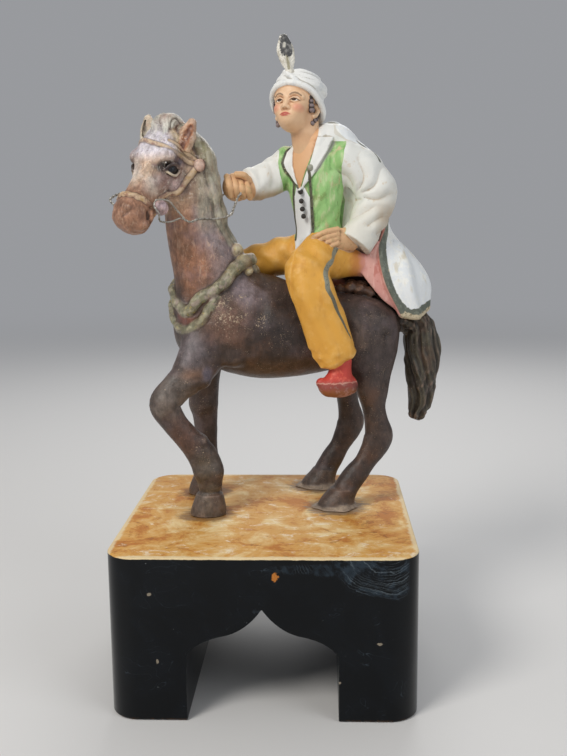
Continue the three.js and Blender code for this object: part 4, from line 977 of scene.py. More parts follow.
def head_parts():
    p = {}
    p["neck"] = Strand([[10.5, -0.5, 206, 9.8, 9], [10.8, -0.5, 212, 9.4, 8.8], [12.5, 0, 220, 8.6, 8.3],
                        [14, 0.5, 230, 8.6, 8.8]], side=tuple(CHEST_LEFT), ends=(0.3, 0.8))
    p["egg"] = on_face(Strand([[1.8, 0, -11, 7.8, 8.6], [1, 0, -4, 11, 11.5], [0, 0, 4, 12.5, 13],
                               [-1, 0, 8.5, 10.6, 10.8]], ends=(1, 0.6)))
    p["chin"] = on_face(Blob([7.4, 0, -14], [3.6, 3.9, 2.8]))
    p["jaw"] = on_face(Blob([3.2, 0, -10.6], [7.6, 8.2, 5.4]))
    p["mouth_mound"] = on_face(Blob([8.8, 0, -11.3], [3.0, 4.8, 3.4]))
    p["nose"] = on_face(Strand([[11.2, 0, -1.4, 1.5, 1.2], [12.1, 0, -4.4, 1.5, 1.4], [13.0, 0, -7.1, 1.7, 1.5],
                                [13.0, 0, -8.0, 1.5, 1.2]], ends=(0.8, 0.6)))
    p["nose_tip"] = on_face(Blob([13.3, 0, -7.6], [1.5, 1.5, 1.35]))
    for name, sign in SIDES:
        p[name + "_wing"] = on_face(Blob([12.0, sign * 1.7, -8.1], [1.5, 1.05, 1.1]))
        p[name + "_nostril"] = on_face(Blob([12.7, sign * 0.95, -9.1], [0.75, 0.5, 0.4]))
        p[name + "_socket"] = on_face(Blob([12.6, sign * 4.9, -3.1], [2.2, 3.0, 1.9]))
        p[name + "_eyeball"] = on_face(Blob([9.0, sign * 4.7, -3.15], [2.75, 2.7, 2.3]))
        arch = [[11.9, sign * 2.3, -3.5], [12.0, sign * 3.6, -2.5], [11.5, sign * 5.3, -2.3],
                [10.2, sign * 7.3, -3.2]]
        pouch = [[11.9, sign * 2.3, -3.6], [11.8, sign * 3.7, -4.5], [11.2, sign * 5.3, -4.6],
                 [10.2, sign * 7.1, -3.5]]
        p[name + "_upper_lid"] = on_face(Strand([r + [0.6] for r in arch]))
        p[name + "_lower_lid"] = on_face(Strand([r + [0.38] for r in pouch]))
        brow = [[12.0, sign * 1.9, -0.6], [12.0, sign * 4.2, 0.5], [10.6, sign * 6.8, 0.3], [8.8, sign * 8.8, -1.2]]
        p[name + "_brow"] = on_face(Strand([r + [0.9] for r in brow]))
        p[name + "_cheek"] = on_face(Blob([7.7, sign * 5.6, -7.6], [4.2, 3.4, 3.6]))
        ear = [[-2.8, sign * 11.8, -2.2, 1.3], [-4.6, sign * 12.6, -4.2, 1.4], [-3.6, sign * 12.4, -7.2, 1.3],
               [-1.6, sign * 11.6, -8.8, 1.3]]
        p[name + "_ear"] = on_face(Strand(ear))
        p[name + "_hair"] = on_face(Blob([-6, sign * 10, -6], [4.6, 2.6, 4.4]))
        for i, place in enumerate([(3.6, 10.4, 0.6), (3.0, 11.0, -1.6), (2.2, 11.4, -3.8), (1.2, 11.4, -5.8),
                                   (-3.4, 11.8, -10.6), (-5.4, 11.8, -9), (-2.4, 11, -12.6)]):
            x, y, z = place
            size = 1.25 if i < 4 else 1
            p[f"{name}_curl_{i}"] = on_face(Blob([x, sign * y, z], [1.6 * size, 1.4 * size, 1.4 * size]))
    p["nape_hair"] = on_face(Blob([-8, 0, -7], [6, 9, 6.4]))
    above_rim = Half([12.9, 0, 6.2], [0.413, 0, -0.911])
    turban = [[-11, 0, -8.4, 6.8, 10.6], [-9, 0, -5, 9.6, 13], [-5.6, 0, 0, 13.4, 15], [-4.2, 0, 5, 15.4, 16.2],
              [-3.2, 0, 10, 15.8, 15.8], [-3, 0, 15, 11.8, 11.8]]
    p["turban"] = on_face(Trimmed(Strand(turban, ripple=turban_wraps, ends=(0.2, 0.35)), above_rim))
    rim = [[12.9, 0, 6.6], [11.1, 7, 5.6], [6, 12.4, 3.4], [-1, 15, -0.4], [-8, 14.6, -4], [-14.5, 10.6, -6.6],
           [-18, 4, -7.4]]
    rim += [[r[0], -r[1], r[2]] for r in rim[:0:-1]] + rim[:1]
    p["rim"] = on_face(Strand([r + [1.8] for r in rim], side=(0, 0, 1)))
    p["fold"] = on_face(Strand([[12.6, 5.4, 7.4, 1.1], [11.2, -1.4, 12.4, 1.2], [5, -6.6, 16.6, 1.2],
                                [-3, -8, 18.2, 1.2]], side=(0, 0, 1)))
    p["plume"] = Strand([[22, 4, 253, 2.4, 1.8], [22.6, 4, 257, 2.2, 1.6], [23.5, 4, 262, 4.2, 1.7],
                         [25.2, 4, 269, 4.9, 1.6], [26, 4, 275, 2.6, 1.2]], side=(1, -0.2, 0), ends=(0.5, 1.6))
    p["shaft"] = Strand([[21.8, 5.6, 256, 0.6], [23.4, 5.8, 263, 0.6], [25, 5.7, 270, 0.5], [26, 5.2, 276, 0.4]])
    return p


def mouth_parts(bare):
    """Calm, closed lips, laid on the bare face."""
    upper = [[10, -3.4, -11.95, 0.25], [11, -2, -11.7, 0.5], [12, -0.8, -11.4, 0.62], [12, 0, -11.5, 0.55],
             [12, 0.8, -11.4, 0.62], [11, 2, -11.7, 0.5], [10, 3.4, -11.95, 0.25]]
    lower = [[10, -3, -12.2, 0.25], [11, -1.6, -12.5, 0.55], [12, 0, -12.65, 0.7], [11, 1.6, -12.5, 0.55],
             [10, 3, -12.2, 0.25]]
    line = [[10, -3.5, -12, 0.14], [11, -1.8, -12.05, 0.16], [12, 0, -12.1, 0.18], [11, 1.8, -12.05, 0.16],
            [10, 3.5, -12, 0.14]]
    sinks = {"upper_lip": (upper, 0.25), "lower_lip": (lower, 0.3), "lip_line": (line, -0.25)}
    return {name: Strand(laid_on(bare, out_of_frame(rows, FACE_PLACE), sink), side=(0, 0, 1)) for name,
            (rows, sink) in sinks.items()}


def bare_head(parts):
    return Sculpture(parts, " ".join([
        "neck+0 egg+2 jaw+3 chin+2.6 mouth_mound+2.4",
        both("_cheek+3 _socket-1.6 _eyeball+0.15 _brow+1.4 _upper_lid+0.4 _lower_lid+0.4"),
        "nose+1.6 nose_tip+0.8", both("_wing+0.8 _nostril-0.3")]))


HEAD = head_parts()
HEAD.update(mouth_parts(bare_head(HEAD)))


def head_sculpture():
    curls = " ".join(f"_curl_{i}+0.5" for i in range(CURLS))
    return bare_head(HEAD).follow(HEAD, " ".join([
        "upper_lip+0.5 lower_lip+0.6 lip_line-0.3 nape_hair+0.6", both("_hair+0.6 _ear+0.5 " + curls),
        "turban+0.4 rim+0.8 fold+1.4 plume+0.5 shaft+0.4"]))


# Materials. Paint wraps a node tree so that numbers and colours can be worked out in plain expressions.
class Number:
    def __init__(self, paint, socket):
        self.paint, self.socket = paint, socket

    def __add__(self, other):
        return self.paint.math("ADD", self, other)

    def __sub__(self, other):
        return self.paint.math("SUBTRACT", self, other)

    def __rsub__(self, other):
        return self.paint.math("SUBTRACT", other, self)

    def __mul__(self, other):
        return self.paint.math("MULTIPLY", self, other)

    __radd__ = __add__
    __rmul__ = __mul__

    def step(self, low, high):
        """0 below low, 1 above high, smooth between; low may be the larger one."""
        start, end = (1.0, 0.0) if low > high else (0.0, 1.0)
        node = self.paint.new("MapRange", {
            "Value": self, "From Min": min(low, high), "From Max": max(low, high), "To Min": start,
            "To Max": end}, interpolation_type="SMOOTHSTEP")
        return Number(self.paint, node.outputs["Result"])

    def least(self, other):
        return self.paint.math("MINIMUM", self, other)

    def most(self, other):
        return self.paint.math("MAXIMUM", self, other)


class Colour:
    """A colour that is built up in layers."""

    def __init__(self, paint, socket):
        self.paint, self.socket = paint, socket

    def over(self, colour, share):
        """Lays another colour over this one by a share that may vary."""
        self.socket = self.paint.mix(self, colour, share).socket

    def shade(self, factor):
        """Makes it darker or lighter by a factor that may vary."""
        grey = self.paint.new("CombineColor", {i: factor for i in range(3)})
        self.socket = self.paint.new("Mix", {"Factor": 1.0, UNDER: self, OVER: grey.outputs[0]},
                                     data_type="RGBA", blend_type="MULTIPLY").outputs[MIXED]


UNDER, OVER, MIXED = 6, 7, 2  # the colour sockets of a Mix node


class Paint:
    def __init__(self, name):
        self.material = bpy.data.materials.new(name)
        self.material.use_nodes = True
        self.nodes = self.material.node_tree.nodes
        self.links = self.material.node_tree.links
        self.shader = self.nodes["Principled BSDF"]
        self.place = self.new("TexCoord").outputs["Object"]

    def new(self, kind, inputs=(), **settings):
        """A new node with its settings and its inputs, which go by name or number."""
        node = self.nodes.new("ShaderNode" + kind)
        for name, value in settings.items():
            setattr(node, name, value)
        for key, value in dict(inputs).items():
            self.put(node.inputs[key], value)
        return node

    def put(self, socket, value):
        if isinstance(value, (Number, Colour)):
            value = value.socket
        if isinstance(value, bpy.types.NodeSocket):
            self.links.new(value, socket)
        elif isinstance(value, str):
            socket.default_value = (*linear(value), 1)
        else:
            socket.default_value = value

    def math(self, operation, a, b=0.0):
        return Number(self, self.new("Math", {0: a, 1: b}, operation=operation).outputs[0])

    def stored(self, name):
        return self.new("Attribute", attribute_type="GEOMETRY", attribute_name=name)

    def field(self, name):
        return Number(self, self.stored(name).outputs["Fac"])

    def tint(self):
        return Colour(self, self.stored("tint").outputs["Color"])

    def noise(self, size, detail=3.0, rough=0.55, stretch=(1, 1, 1), turn=(0, 0, 0), shift=0.0, twist=0.0):
        """Noise from about -0.5 to 0.5 with features size mm wide."""
        where = self.new("Mapping", {
            "Vector": self.place, "Location": (shift, shift * 0.7, shift * 1.3),
            "Rotation": [math.radians(v) for v in turn], "Scale": stretch}).outputs["Vector"]
        node = self.new("TexNoise", {"Vector": where, "Scale": 1000.0 / size, "Detail": detail,
                                     "Roughness": rough, "Distortion": twist})
        return Number(self, node.outputs["Fac"]) - 0.5

    def mix(self, under, over, share):
        node = self.new("Mix", data_type="RGBA", clamp_factor=True)
        for key, value in (("Factor", share), (UNDER, under), (OVER, over)):
            self.put(node.inputs[key], value)
        return Colour(self, node.outputs[MIXED])

    def finish(self, colour, rough, bump, height, **more):
        """bump is a number field; height is what 1 stands for, in millimetres. more sets the shader's own
        sockets, with _ for a space."""
        sockets = self.shader.inputs
        for name, value in {"Base_Color": colour, "Roughness": rough, **more}.items():
            self.put(sockets[name.replace("_", " ")], value)
        node = self.new("Bump", {"Strength": 1.0, "Distance": height / 1000, "Height": bump})
        self.links.new(node.outputs["Normal"], sockets["Normal"])
        return self.material


# The horse's mesh and paint.
def distances(parts, points, names):
    points = points.astype(F32)
    out = np.full(len(points), FAR_AWAY, F32)
    for name in names:
        out = np.minimum(out, parts[name](points))
    return out


RESIDUE = [f"residue_{i}" for i in range(6)]


def horse_relief(points, normals):
    """Shallow modelling: waves in the hair, uneven hand-worked clay, twisted leaves on the garland."""
    x, y, z = points.T
    u, _, w = q = into_frame(points, HEAD_PLACE).T
    push = 0.16 * noise(points, 9, 3) + 0.07 * noise(points, 3.2, 4)
    mane = ramp(1.0, 0, distances(HORSE, points, ["mane"]))
    flow = x * 1.25 + 0.25 * y - 0.42 * z + 1.6 * np.sin(z * 0.21)
    push += mane * (0.2 * (np.abs(np.sin(flow * 0.45)) * 2 - 1.2) + 0.16 * noise(points, 4.5, 19))
    tail = ramp(1.0, 0, distances(HORSE, points, ["tail"])) * ramp(-38, -44, x)
    curl = x * 0.85 + y * 0.7 + 2.4 * np.sin(z * 0.17 + 0.6)
    push += tail * (0.45 * (np.abs(np.sin(curl * 0.55)) * 2 - 1.4) + 0.16 * np.sin(curl * 2.3))
    lock = ramp(1.0, 0, distances(HORSE, points, ["forelock"]))
    push += lock * 0.35 * noise(points, 5, 6)
    roll = ramp(1.0, 0, distances(HORSE, points, ["garland_upper", "garland_lower", "knot"]))
    push += roll * 0.3 * noise(points, 2.6, 12)
    muzzle = ramp(-17.5, -21, w) * ramp(9, 14, u)
    muzzle = muzzle * ramp(60, 40, np.linalg.norm(q, axis=0))
    push += muzzle * (0.42 * noise(points, 3.4, 16) + 0.2 * noise(points, 1.5, 17))
    ears = ramp(1.0, 0, distances(HORSE, points, ["near_ear", "far_ear"]))
    push += ears * 0.3 * noise(points, 2.2, 18)
    ball = ramp(1.0, 0, distances(HORSE, points, ["near_pompom", "far_pompom", "near_bit_pompom"]))
    push += ball * 0.3 * noise(points, 1.8, 14)
    push += ramp(1.5, 0, distances(HORSE, points, RESIDUE)) * 0.6 * noise(points, 2.6, 20)
    legs = ramp(70, 40, z)
    push += legs * 0.12 * noise(points, 5, 8)
    return push * ramp(0.1, 1.5, z)


horse, horse_points = sculpted("horse_body", horse_sculpture(), [-77, -44, -2], [136, 46, 236], HORSE_CELL,
                               horse_relief)


def paint_horse(piece, p):
    x, y, z = p.T
    u, v, w = into_frame(p, HEAD_PLACE).T
    near = lambda *names: distances(HORSE, p, names)
    mane, tail, lock = near("mane"), near("tail"), near("forelock")
    garland = near("garland_upper", "garland_lower")
    knot = near("knot", "knot_top", "knot_low")
    straps = near("brow_band", "ear_cord", "nose_band", "near_cheek_strap", "far_cheek_strap")
    pompoms, bit_pompoms, eyes = near(*pair("_pompom")), near(*pair("_bit_pompom")), near(*pair("_eye"))
    low_lids, high_lids, hollow = near(*pair("_lower_lid")), near(*pair("_upper_lid")), near(*pair("_ear_hollow"))
    hooves = near("stepping_hoof", "standing_hoof", *pair("_hind_hoof"))
    plaster, nostrils, mouth = near(*pair("_hind_plaster")), near(*pair("_nostril")), near("mouth")
    on_the_head = ramp(30, 16, np.sqrt(u**2 + v**2 + w**2) * 0.9)

    t = Tint(p, "#44362f")
    t.lay("#3d312b", ramp(60, 20, z))  # darker lower legs
    t.lay("#51423d", ramp(118, 134, z) * ramp(50, 20, x))
    t.lay("#9a7159", ramp(128, 150, z) * ramp(56, 72, x))  # neck
    t.dab("#978a8c", (71, 16, 172), (10, 12, 20), 0.85)  # lilac-grey towards the mane
    t.dab("#8d7f80", (66, 16, 150), (7, 10, 14), 0.6)
    t.dab("#9c6a4c", (81, 14, 144), (9, 10, 16), 0.6)
    t.dab("#a47a5e", (87, 12, 168), (5, 10, 16), 0.6)
    t.dab("#7c4a38", (85, 16, 117), (7, 9, 5), 0.85)
    t.dab("#94868a", (51, 20, 129), (11, 10, 10), 0.7)  # shoulder: painted lilac-grey highlight
    t.dab("#7c5b4c", (64, 24, 115), (14, 10, 13), 0.6)
    t.dab("#2f2522", (33, 26, 106), (15, 10, 24), 0.8)  # barrel
    t.dab("#5b4636", (20, 20, 84), (26, 14, 7), 0.6)  # belly
    t.dab("#857c80", (85, 24, 94), (7, 12, 13), 0.5, 0.7)  # stepping leg: painted lilac-grey sheen on the upper foreleg
    t.dab("#756c64", (94, 24, 74), (12, 12, 12), 0.6, 0.7)
    t.dab("#9a7050", (84, 27, 85), (7, 7, 3.4), 0.5, 0.9)
    t.dab("#5f5a66", (76, 27, 84), (3, 7, 5), 0.85, 0.6)
    t.dab("#93877a", (101, 25, 68), (6, 8, 5), 0.45, 0.7)
    t.dab("#6b4c3f", (90, 27, 50), (7, 9, 10), 0.5, 0.7)
    t.dab("#6b6052", (77, 27, 30), (8, 9, 9), 0.6, 0.7)
    t.dab("#6b6156", (76, 27, 6), (9, 9, 8), 0.5, 0.7)
    t.dab("#3f3532", (-22, 24, 100), (15, 14, 24), 0.6)  # haunch
    t.dab("#6d5a4c", (-14, 25, 104), (5, 6, 6), 0.4)
    t.dab("#7d705f", (77, 30, 10), (8, 8, 9), 0.4)
    head = on_the_head * ramp(1, 2.5, mane)
    t.lay("#c4a68c", head)
    t.lay("#d6cfd6", head * ramp(0, 8, w) * ramp(-2, 6, u))  # forehead
    t.lay("#e6d2ba", head * ramp(6, -2, np.abs(v)) * ramp(-2, -10, w))  # bridge of the nose
    t.lay("#a8939b", head * 0.6 * ramp(3, 8, v) * ramp(-4, -10, w) * ramp(-20, -14, w))
    t.lay("#8a7252", head * 0.8 * ramp(2, -8, u) * ramp(-2, -10, w))  # jaw
    t.lay("#d6c08f", head * 0.6 * ramp(5, 10, v) * ramp(1, 5, w) * ramp(6, 0, u))
    t.lay("#a87850", head * ramp(-18.5, -21.5, w) * ramp(13, 17, u))  # muzzle
    t.lay("#c0a0a0", head * 0.6 * ramp(-19, -22, w) * ramp(-27, -23, w) * ramp(24, 30, u))
    smoke = ramp(4.5, 0.5, near(*pair("_socket")))
    t.lay("#76666c", 0.6 * smoke)
    t.dab("#1c1517", (98.2, 21.6, 201.8), (5.2, 6, 2.9), 0.95, 0.35)
    t.dab("#1c1517", (93.4, 20, 203.2), (4.2, 6, 1.7), 0.9, 0.35)
    t.dab("#4f4855", (88.4, 17.3, 205.3), (3.3, 5, 2.2), 0.9, 0.35)
    t.dab("#1c1517", (115.5, 7.5, 202), (2.2, 4, 4), 0.7, 0.45)
    t.lay("#6d4632", 0.8 * ramp(1.1, 0.4, along(p, [[87, 15.6, 200.6], [88.6, 16.4, 197.6], [91.5, 17.5, 195]])))
    t.dab("#e9dcc6", (104, 22.5, 191), (5, 6, 6), 0.5)
    t.dab("#7d6064", (101, 22, 193.5), (4, 5, 4.5), 0.55)
    t.dab("#8e6a58", (97.5, 20.5, 189.5), (5, 5, 3), 0.5)
    t.dab("#ece2d8", (113, 17, 193), (3.5, 6, 11), 0.55)
    crest = ramp(81, 76, x) * ramp(160, 176, z) * ramp(1, 4, y)
    t.lay("#a09a84", 0.75 * crest)
    t.lay("#a39f8b", ramp(0.9, -0.4, mane))
    t.lay("#8c8a58", ramp(0.9, -0.4, mane) * 0.6 * ramp(9, 4, np.linalg.norm(p - [74, 13, 211], axis=1)))
    t.lay("#6d6a58", ramp(0.9, -0.4, mane) * ramp(178, 160, z) * 0.7)
    t.lay("#454035", ramp(1.5, -0.4, tail) * ramp(-38, -46, x))
    t.lay("#c6c6ba", ramp(0.8, -0.4, lock))
    t.lay("#d3b196", ramp(0.6, -0.4, near("near_ear")))
    t.lay("#ddd3bd", ramp(0.6, -0.4, near("far_ear")))
    t.lay("#a8704a", ramp(1.6, 0.2, hollow) * (v > 0))
    t.lay("#7f7b62", ramp(1.0, -0.2, garland))
    t.lay("#b3a07a", ramp(0.9, -0.4, knot))
    t.lay("#5f5147", ramp(0.8, -0.3, hooves) * 0.7)
    t.lay("#8f7f6e", ramp(1.4, 0.2, plaster) * ramp(4.5, 2.5, z))
    t.lay("#cfae9c", ramp(0.9, 0.3, pompoms))
    t.lay("#6f3227", ramp(0.9, 0.3, pompoms) * ramp(-8.4, -9.8, u) * (v > 0))
    t.lay("#c7aeb2", ramp(0.9, 0.3, bit_pompoms))
    t.store(piece)

    density = np.full(len(p), 0.3)
    for place, size, share in [((62, 24, 118), (15, 12, 18), 1), ((43, 26, 112), (8, 8, 9), 0.8),
                               ((30, 27, 106), (8, 8, 8), 0.7),
                               ((88, 24, 90), (10, 10, 10), 0.5), ((80, 24, 45), (12, 10, 16), 0.55),
                               ((-20, 24, 105), (18, 12, 24), 0.5),
                               ((70, 18, 150), (12, 10, 24), 0.35), ((75, 26, 14), (10, 10, 14), 0.35)]:
        d = np.sqrt((((p - np.array(place)) / np.array(size)) ** 2).sum(1))
        density = np.maximum(density, share * ramp(1.4, 0.4, d))
    glints = least(*[np.linalg.norm(p - np.array(g), axis=1) for g in
                     ((96, 23, 203.6), (92.6, 20.6, 204.3), (98.4, 22.4, 198.2), (93.4, 20.4, 201.6))])
    give(piece, residue=near(*RESIDUE), glint=glints, ear_pits=ramp(2.2, 0.6, near("near_ear_hollow")),
         muzzle=on_the_head * ramp(-18.5, -21, w) * ramp(12, 16, u), low_lid=low_lids, high_lid=high_lids,
         hollow=hollows(piece.data, 2.5), deep=hollows(piece.data, 5.6), strap=straps, eye=eyes,
         lid=least(low_lids, high_lids), nostril=least(nostrils, mouth), worn=density, head=on_the_head,
         mane=mane, tail=tail, garland=least(garland, knot), pompom=least(pompoms, bit_pompoms), lock=lock,
         neck=ramp(125, 150, z) * ramp(52, 66, x) * (1 - on_the_head))

    n = Paint("horse_paint")
    colour = n.tint()
    mottle = n.noise(7, 5, 0.65)
    colour.shade(1.0 + mottle * 1.7)
    touches = n.noise(2.8, 5, 0.72, stretch=(1, 1, 0.55), shift=97, twist=0.5)
    colour.shade(1.0 + touches * 2.2)
    wash = n.noise(16, 4, 0.6, shift=3)
    colour.over("#8d7a80", (wash - 0.02).step(0.0, 0.2) * (n.field("neck").most(n.field("head")) * 0.2 + 0.18))
    colour.over("#6b4a36", (0.0 - wash).step(0.02, 0.22) * 0.4)
    strokes = n.noise(2.6, 5, 0.7, stretch=(1, 1, 0.4), shift=7, twist=0.6)
    colour.over("#cfae95", n.field("neck") * (strokes - 0.04).step(0.0, 0.12) * 0.5)
    colour.over("#6a4634", n.field("neck") * (0.0 - strokes).step(0.04, 0.16) * 0.5)
    hollow, deep = n.field("hollow"), n.field("deep")
    blotches = n.noise(3, 3, 0.6, shift=11)
    # painted shade: darker in the creases and, below, in the broad hollows
    colour.over("#2a1c16", (hollow + blotches * 0.1).step(0.03, 0.22) * 0.6)
    colour.over("#2b1e1a", (deep + blotches * 0.3).step(0.25, 1.1) * 0.45)
    # painted highlight: lighter on the raised parts
    colour.over("#b59a86", (0.0 - hollow + blotches * 0.2).step(0.12, 0.35) * 0.3)
    # cream specks where the brown has flaked off
    flakes = n.noise(1.5, 4, 0.75, shift=5)
    patches = n.noise(8, 3, 0.6, shift=17)
    worn = n.field("worn")
    flaked = (flakes + patches * 0.35 + worn * 0.15).step(0.225, 0.26)
    dust = (n.noise(0.75, 3, 0.7, shift=83) + patches * 0.25 + worn * 0.12).step(0.2, 0.25)
    flaked = flaked.most(dust * 0.75)
    colour.over("#c9b399", flaked * 0.85)
    pits = n.noise(1.1, 3, 0.7, shift=29)
    colour.over("#2d211c", (pits + 0.02 * mottle).step(0.19, 0.24) * 0.55)
    lumps = n.field("residue").step(1.0, 0.0)
    colour.over("#4a3223", lumps * 0.8)
    colour.over("#7d5434", lumps * (mottle + blotches * 0.4).step(0.02, 0.16) * 0.7)
    # painted shade between the clay lumps
    colour.over("#140d0a", lumps * (hollow + blotches * 0.3).step(0.0, 0.2) * 0.8)
    colour.over("#cdb48e", lumps * n.noise(2.4, 4, 0.7, shift=121).step(0.13, 0.18) * 0.8)
    on_head = n.field("head")
    smears = n.noise(4.5, 5, 0.7, shift=41, twist=0.6)
    colour.over("#e6dcd2", on_head * (smears - 0.03).step(0.0, 0.14) * 0.45)
    colour.over("#7d5d50", on_head * (0.0 - smears).step(0.04, 0.16) * 0.6)
    colour.over("#efe6d6", on_head * n.noise(1.8, 4, 0.7, shift=107).step(0.07, 0.15) * 0.5)
    colour.over("#8c6f74", on_head * n.noise(3.4, 4, 0.7, shift=109).step(0.07, 0.17) * 0.5)
    # painted highlight on the raised locks and painted shade in the grooves of the mane, forelock and tail
    for name, pale, dark in (("mane", "#cfcbb6", "#6d6653"), ("lock", "#ebe7d8", "#83796a"),
                             ("tail", "#655f4e", "#241f19")):
        inside = n.field(name).step(0.5, -0.3)
        colour.over(pale, inside * (0.0 - hollow + blotches * 0.3).step(0.02, 0.2) * 0.7)
        colour.over(dark, inside * (hollow + blotches * 0.2).step(0.03, 0.2) * 0.6)
    leaf = n.field("garland").step(0.6, -0.1)
    # painted highlight on the garland's raised leaves
    colour.over("#c6c09f", leaf * (0.0 - hollow + smears * 0.6).step(0.06, 0.26) * 0.75)
    colour.over("#bfa94f", leaf * n.noise(3.4, 4, 0.7, shift=87).step(0.08, 0.16) * 0.55)
    colour.over("#5d6656", leaf * (smears - 0.02).step(0.0, 0.12) * 0.55)
    colour.over("#a8958b", leaf * n.noise(5, 3, 0.6, shift=91).step(0.03, 0.13) * 0.65)
    # painted shade in the garland's hollows
    colour.over("#553428", leaf * (hollow + blotches * 0.2).step(0.03, 0.2) * 0.8)
    strap = n.field("strap")
    # painted shadow along the edges of the straps
    colour.over("#553a2d", (strap + blotches * 0.8).step(0.9, 0.2) * 0.55)
    band = n.mix("#dec3a0", "#a97c66", (smears + blotches * 0.5).step(-0.02, 0.12))
    band.over("#c9a468", n.noise(5, 4, 0.65, shift=101).step(0.03, 0.15) * 0.7)
    colour.over(band, (strap + blotches * 0.5).step(0.35, -0.15) * 0.85)
    skin_spots = n.noise(2.1, 4, 0.72, shift=103)
    colour.over("#d9a877", n.field("muzzle") * (smears + 0.02).step(0.0, 0.14) * 0.55)
    # painted highlight on the raised parts of the muzzle; below, dark spots on the muzzle and in the ear hollow,
    # gathered into the hollows as painted shade
    colour.over("#d8b7a6", n.field("muzzle") * (0.0 - hollow + blotches * 0.3).step(0.08, 0.3) * 0.6)
    colour.over("#5a3520", n.field("muzzle") * (skin_spots + hollow * 0.6).step(0.1, 0.2) * 0.7)
    colour.over("#6b4234", n.field("ear_pits") * (skin_spots + hollow * 0.8).step(0.04, 0.14) * 0.85)
    ball = n.field("pompom").step(0.3, 0.0)
    # painted shade in the pompoms' creases
    colour.over("#5a3a2c", ball * (hollow + blotches * 0.3).step(0.0, 0.12) * 0.8)
    colour.over("#3b2218", (n.field("nostril") + blotches * 0.5).step(0.35, -0.2) * 0.85)
    lid = n.field("lid")
    colour.over("#e0d2b4", n.field("low_lid").step(0.25, -0.1) * 0.85)
    colour.over("#2a2024", n.field("high_lid").step(0.3, 0.0) * 0.75)
    colour.over("#2a1d20", n.field("eye").step(0.6, 0.3) * lid.step(0.0, 0.15))
    wet = n.field("eye").step(0.45, 0.25) * lid.step(0.0, 0.2)
    colour.over("#14161d", wet)
    # painted glints of light on the eyes
    colour.over("#f1f1ee", n.field("glint").step(0.75, 0.45))
    rough = 0.4 + mottle * 0.35 + flaked * 0.2
    rough = rough * (1.0 - wet * 0.85)
    bump = mottle * 0.5 + flaked * -0.35 + n.noise(0.8, 3, 0.6, shift=2) * 0.35 + pits * -0.3
    piece.data.materials.append(
        n.finish(colour, rough, bump + touches * 0.6, 0.5, Specular_IOR_Level=0.45))


paint_horse(horse, horse_points)
settle(horse, "horse")


# The rider's meshes and paint.
def rider_relief(points, normals):
    """Creases that fan out from the bend of the near arm, and uneven hand-worked clay."""
    x, y, z = points.T
    push = 0.12 * noise(points, 6, 21) + 0.05 * noise(points, 2.4, 22)
    p32 = points.astype(F32)
    arm = np.minimum(RIDER["akimbo_upper"](p32), RIDER["akimbo_lower"](p32))
    on_arm = ramp(1.2, 0, arm) * ramp(0, 8, y)
    dx, dz = x + 14.5, z - 185
    angle, r = np.arctan2(dz, -dx), np.hypot(dx, dz)
    crease = np.abs(np.sin(angle * 4.2 + 0.7 * np.sin(r * 0.22) + 0.4)) ** 1.1
    fan = ramp(2, 7, r) * ramp(34, 16, r) * ramp(-0.55, -0.2, angle)
    push += on_arm * fan * 1.7 * (crease - 0.6)
    lower = ramp(1.0, 0, RIDER["akimbo_lower"](p32)) * ramp(-0.3, -0.8, angle)
    across = (x + 14) * 0.45 + (z - 166) * 0.9 + 0.02 * (x + 20) ** 2
    push += lower * 1.3 * (np.abs(np.sin(across * 0.4 + 0.4 * np.sin(x * 0.25))) ** 1.1 - 0.6)
    reach = ramp(1.0, 0, RIDER["reaching"](p32))
    push += reach * 0.3 * np.sin(x * 0.55 + z * 0.35 + 1.1 * np.sin(z * 0.3))
    legs = ramp(1.0, 0, distances(RIDER, points, ["near_shin", "far_shin"]))
    side = np.sign(y)
    cuff = np.where(side > 0, 97, 101)
    push += legs * ramp(8, 1, z - cuff) * 0.5 * noise(points, 3.2, 25)
    long = 0.94 * x - 0.34 * z + 1.6 * np.sin(z * 0.09)
    push += legs * (0.6 * np.sin(long * 0.46 + 0.6) + 0.5 * noise(points, 8, 27)) * ramp(150, 138, z)
    thigh = ramp(1.0, 0, distances(RIDER, points, ["near_thigh", "far_thigh"]))
    push += thigh * 0.45 * np.sin(x * 0.42 - z * 0.38 + 0.5 * np.sin(z * 0.4))
    left, forward = chest_chart(points)
    collar, trim, shirt = front_fields(points)
    push += 1.0 * ramp(-0.2, 0.6, collar) + 0.55 * ramp(1.1, 0.5, trim) * ramp(0.3, -0.3, collar)
    push += 0.35 * ramp(0, 0.5, shirt)
    vest = ramp(1.0, 0, RIDER["torso"](p32)) * ramp(3.5, 6, forward)
    sweep = 0.5 * left - 0.32 * (z - 190) + 0.004 * (z - 190) ** 2
    push += vest * ramp(2, 5, left) * 0.3 * np.sin(sweep * 1.5) * ramp(216, 206, z)
    return push


body, body_points = sculpted("rider_body", rider_sculpture(), [-72, -48, 68], [66, 50, 234], RIDER_CELL, rider_relief)


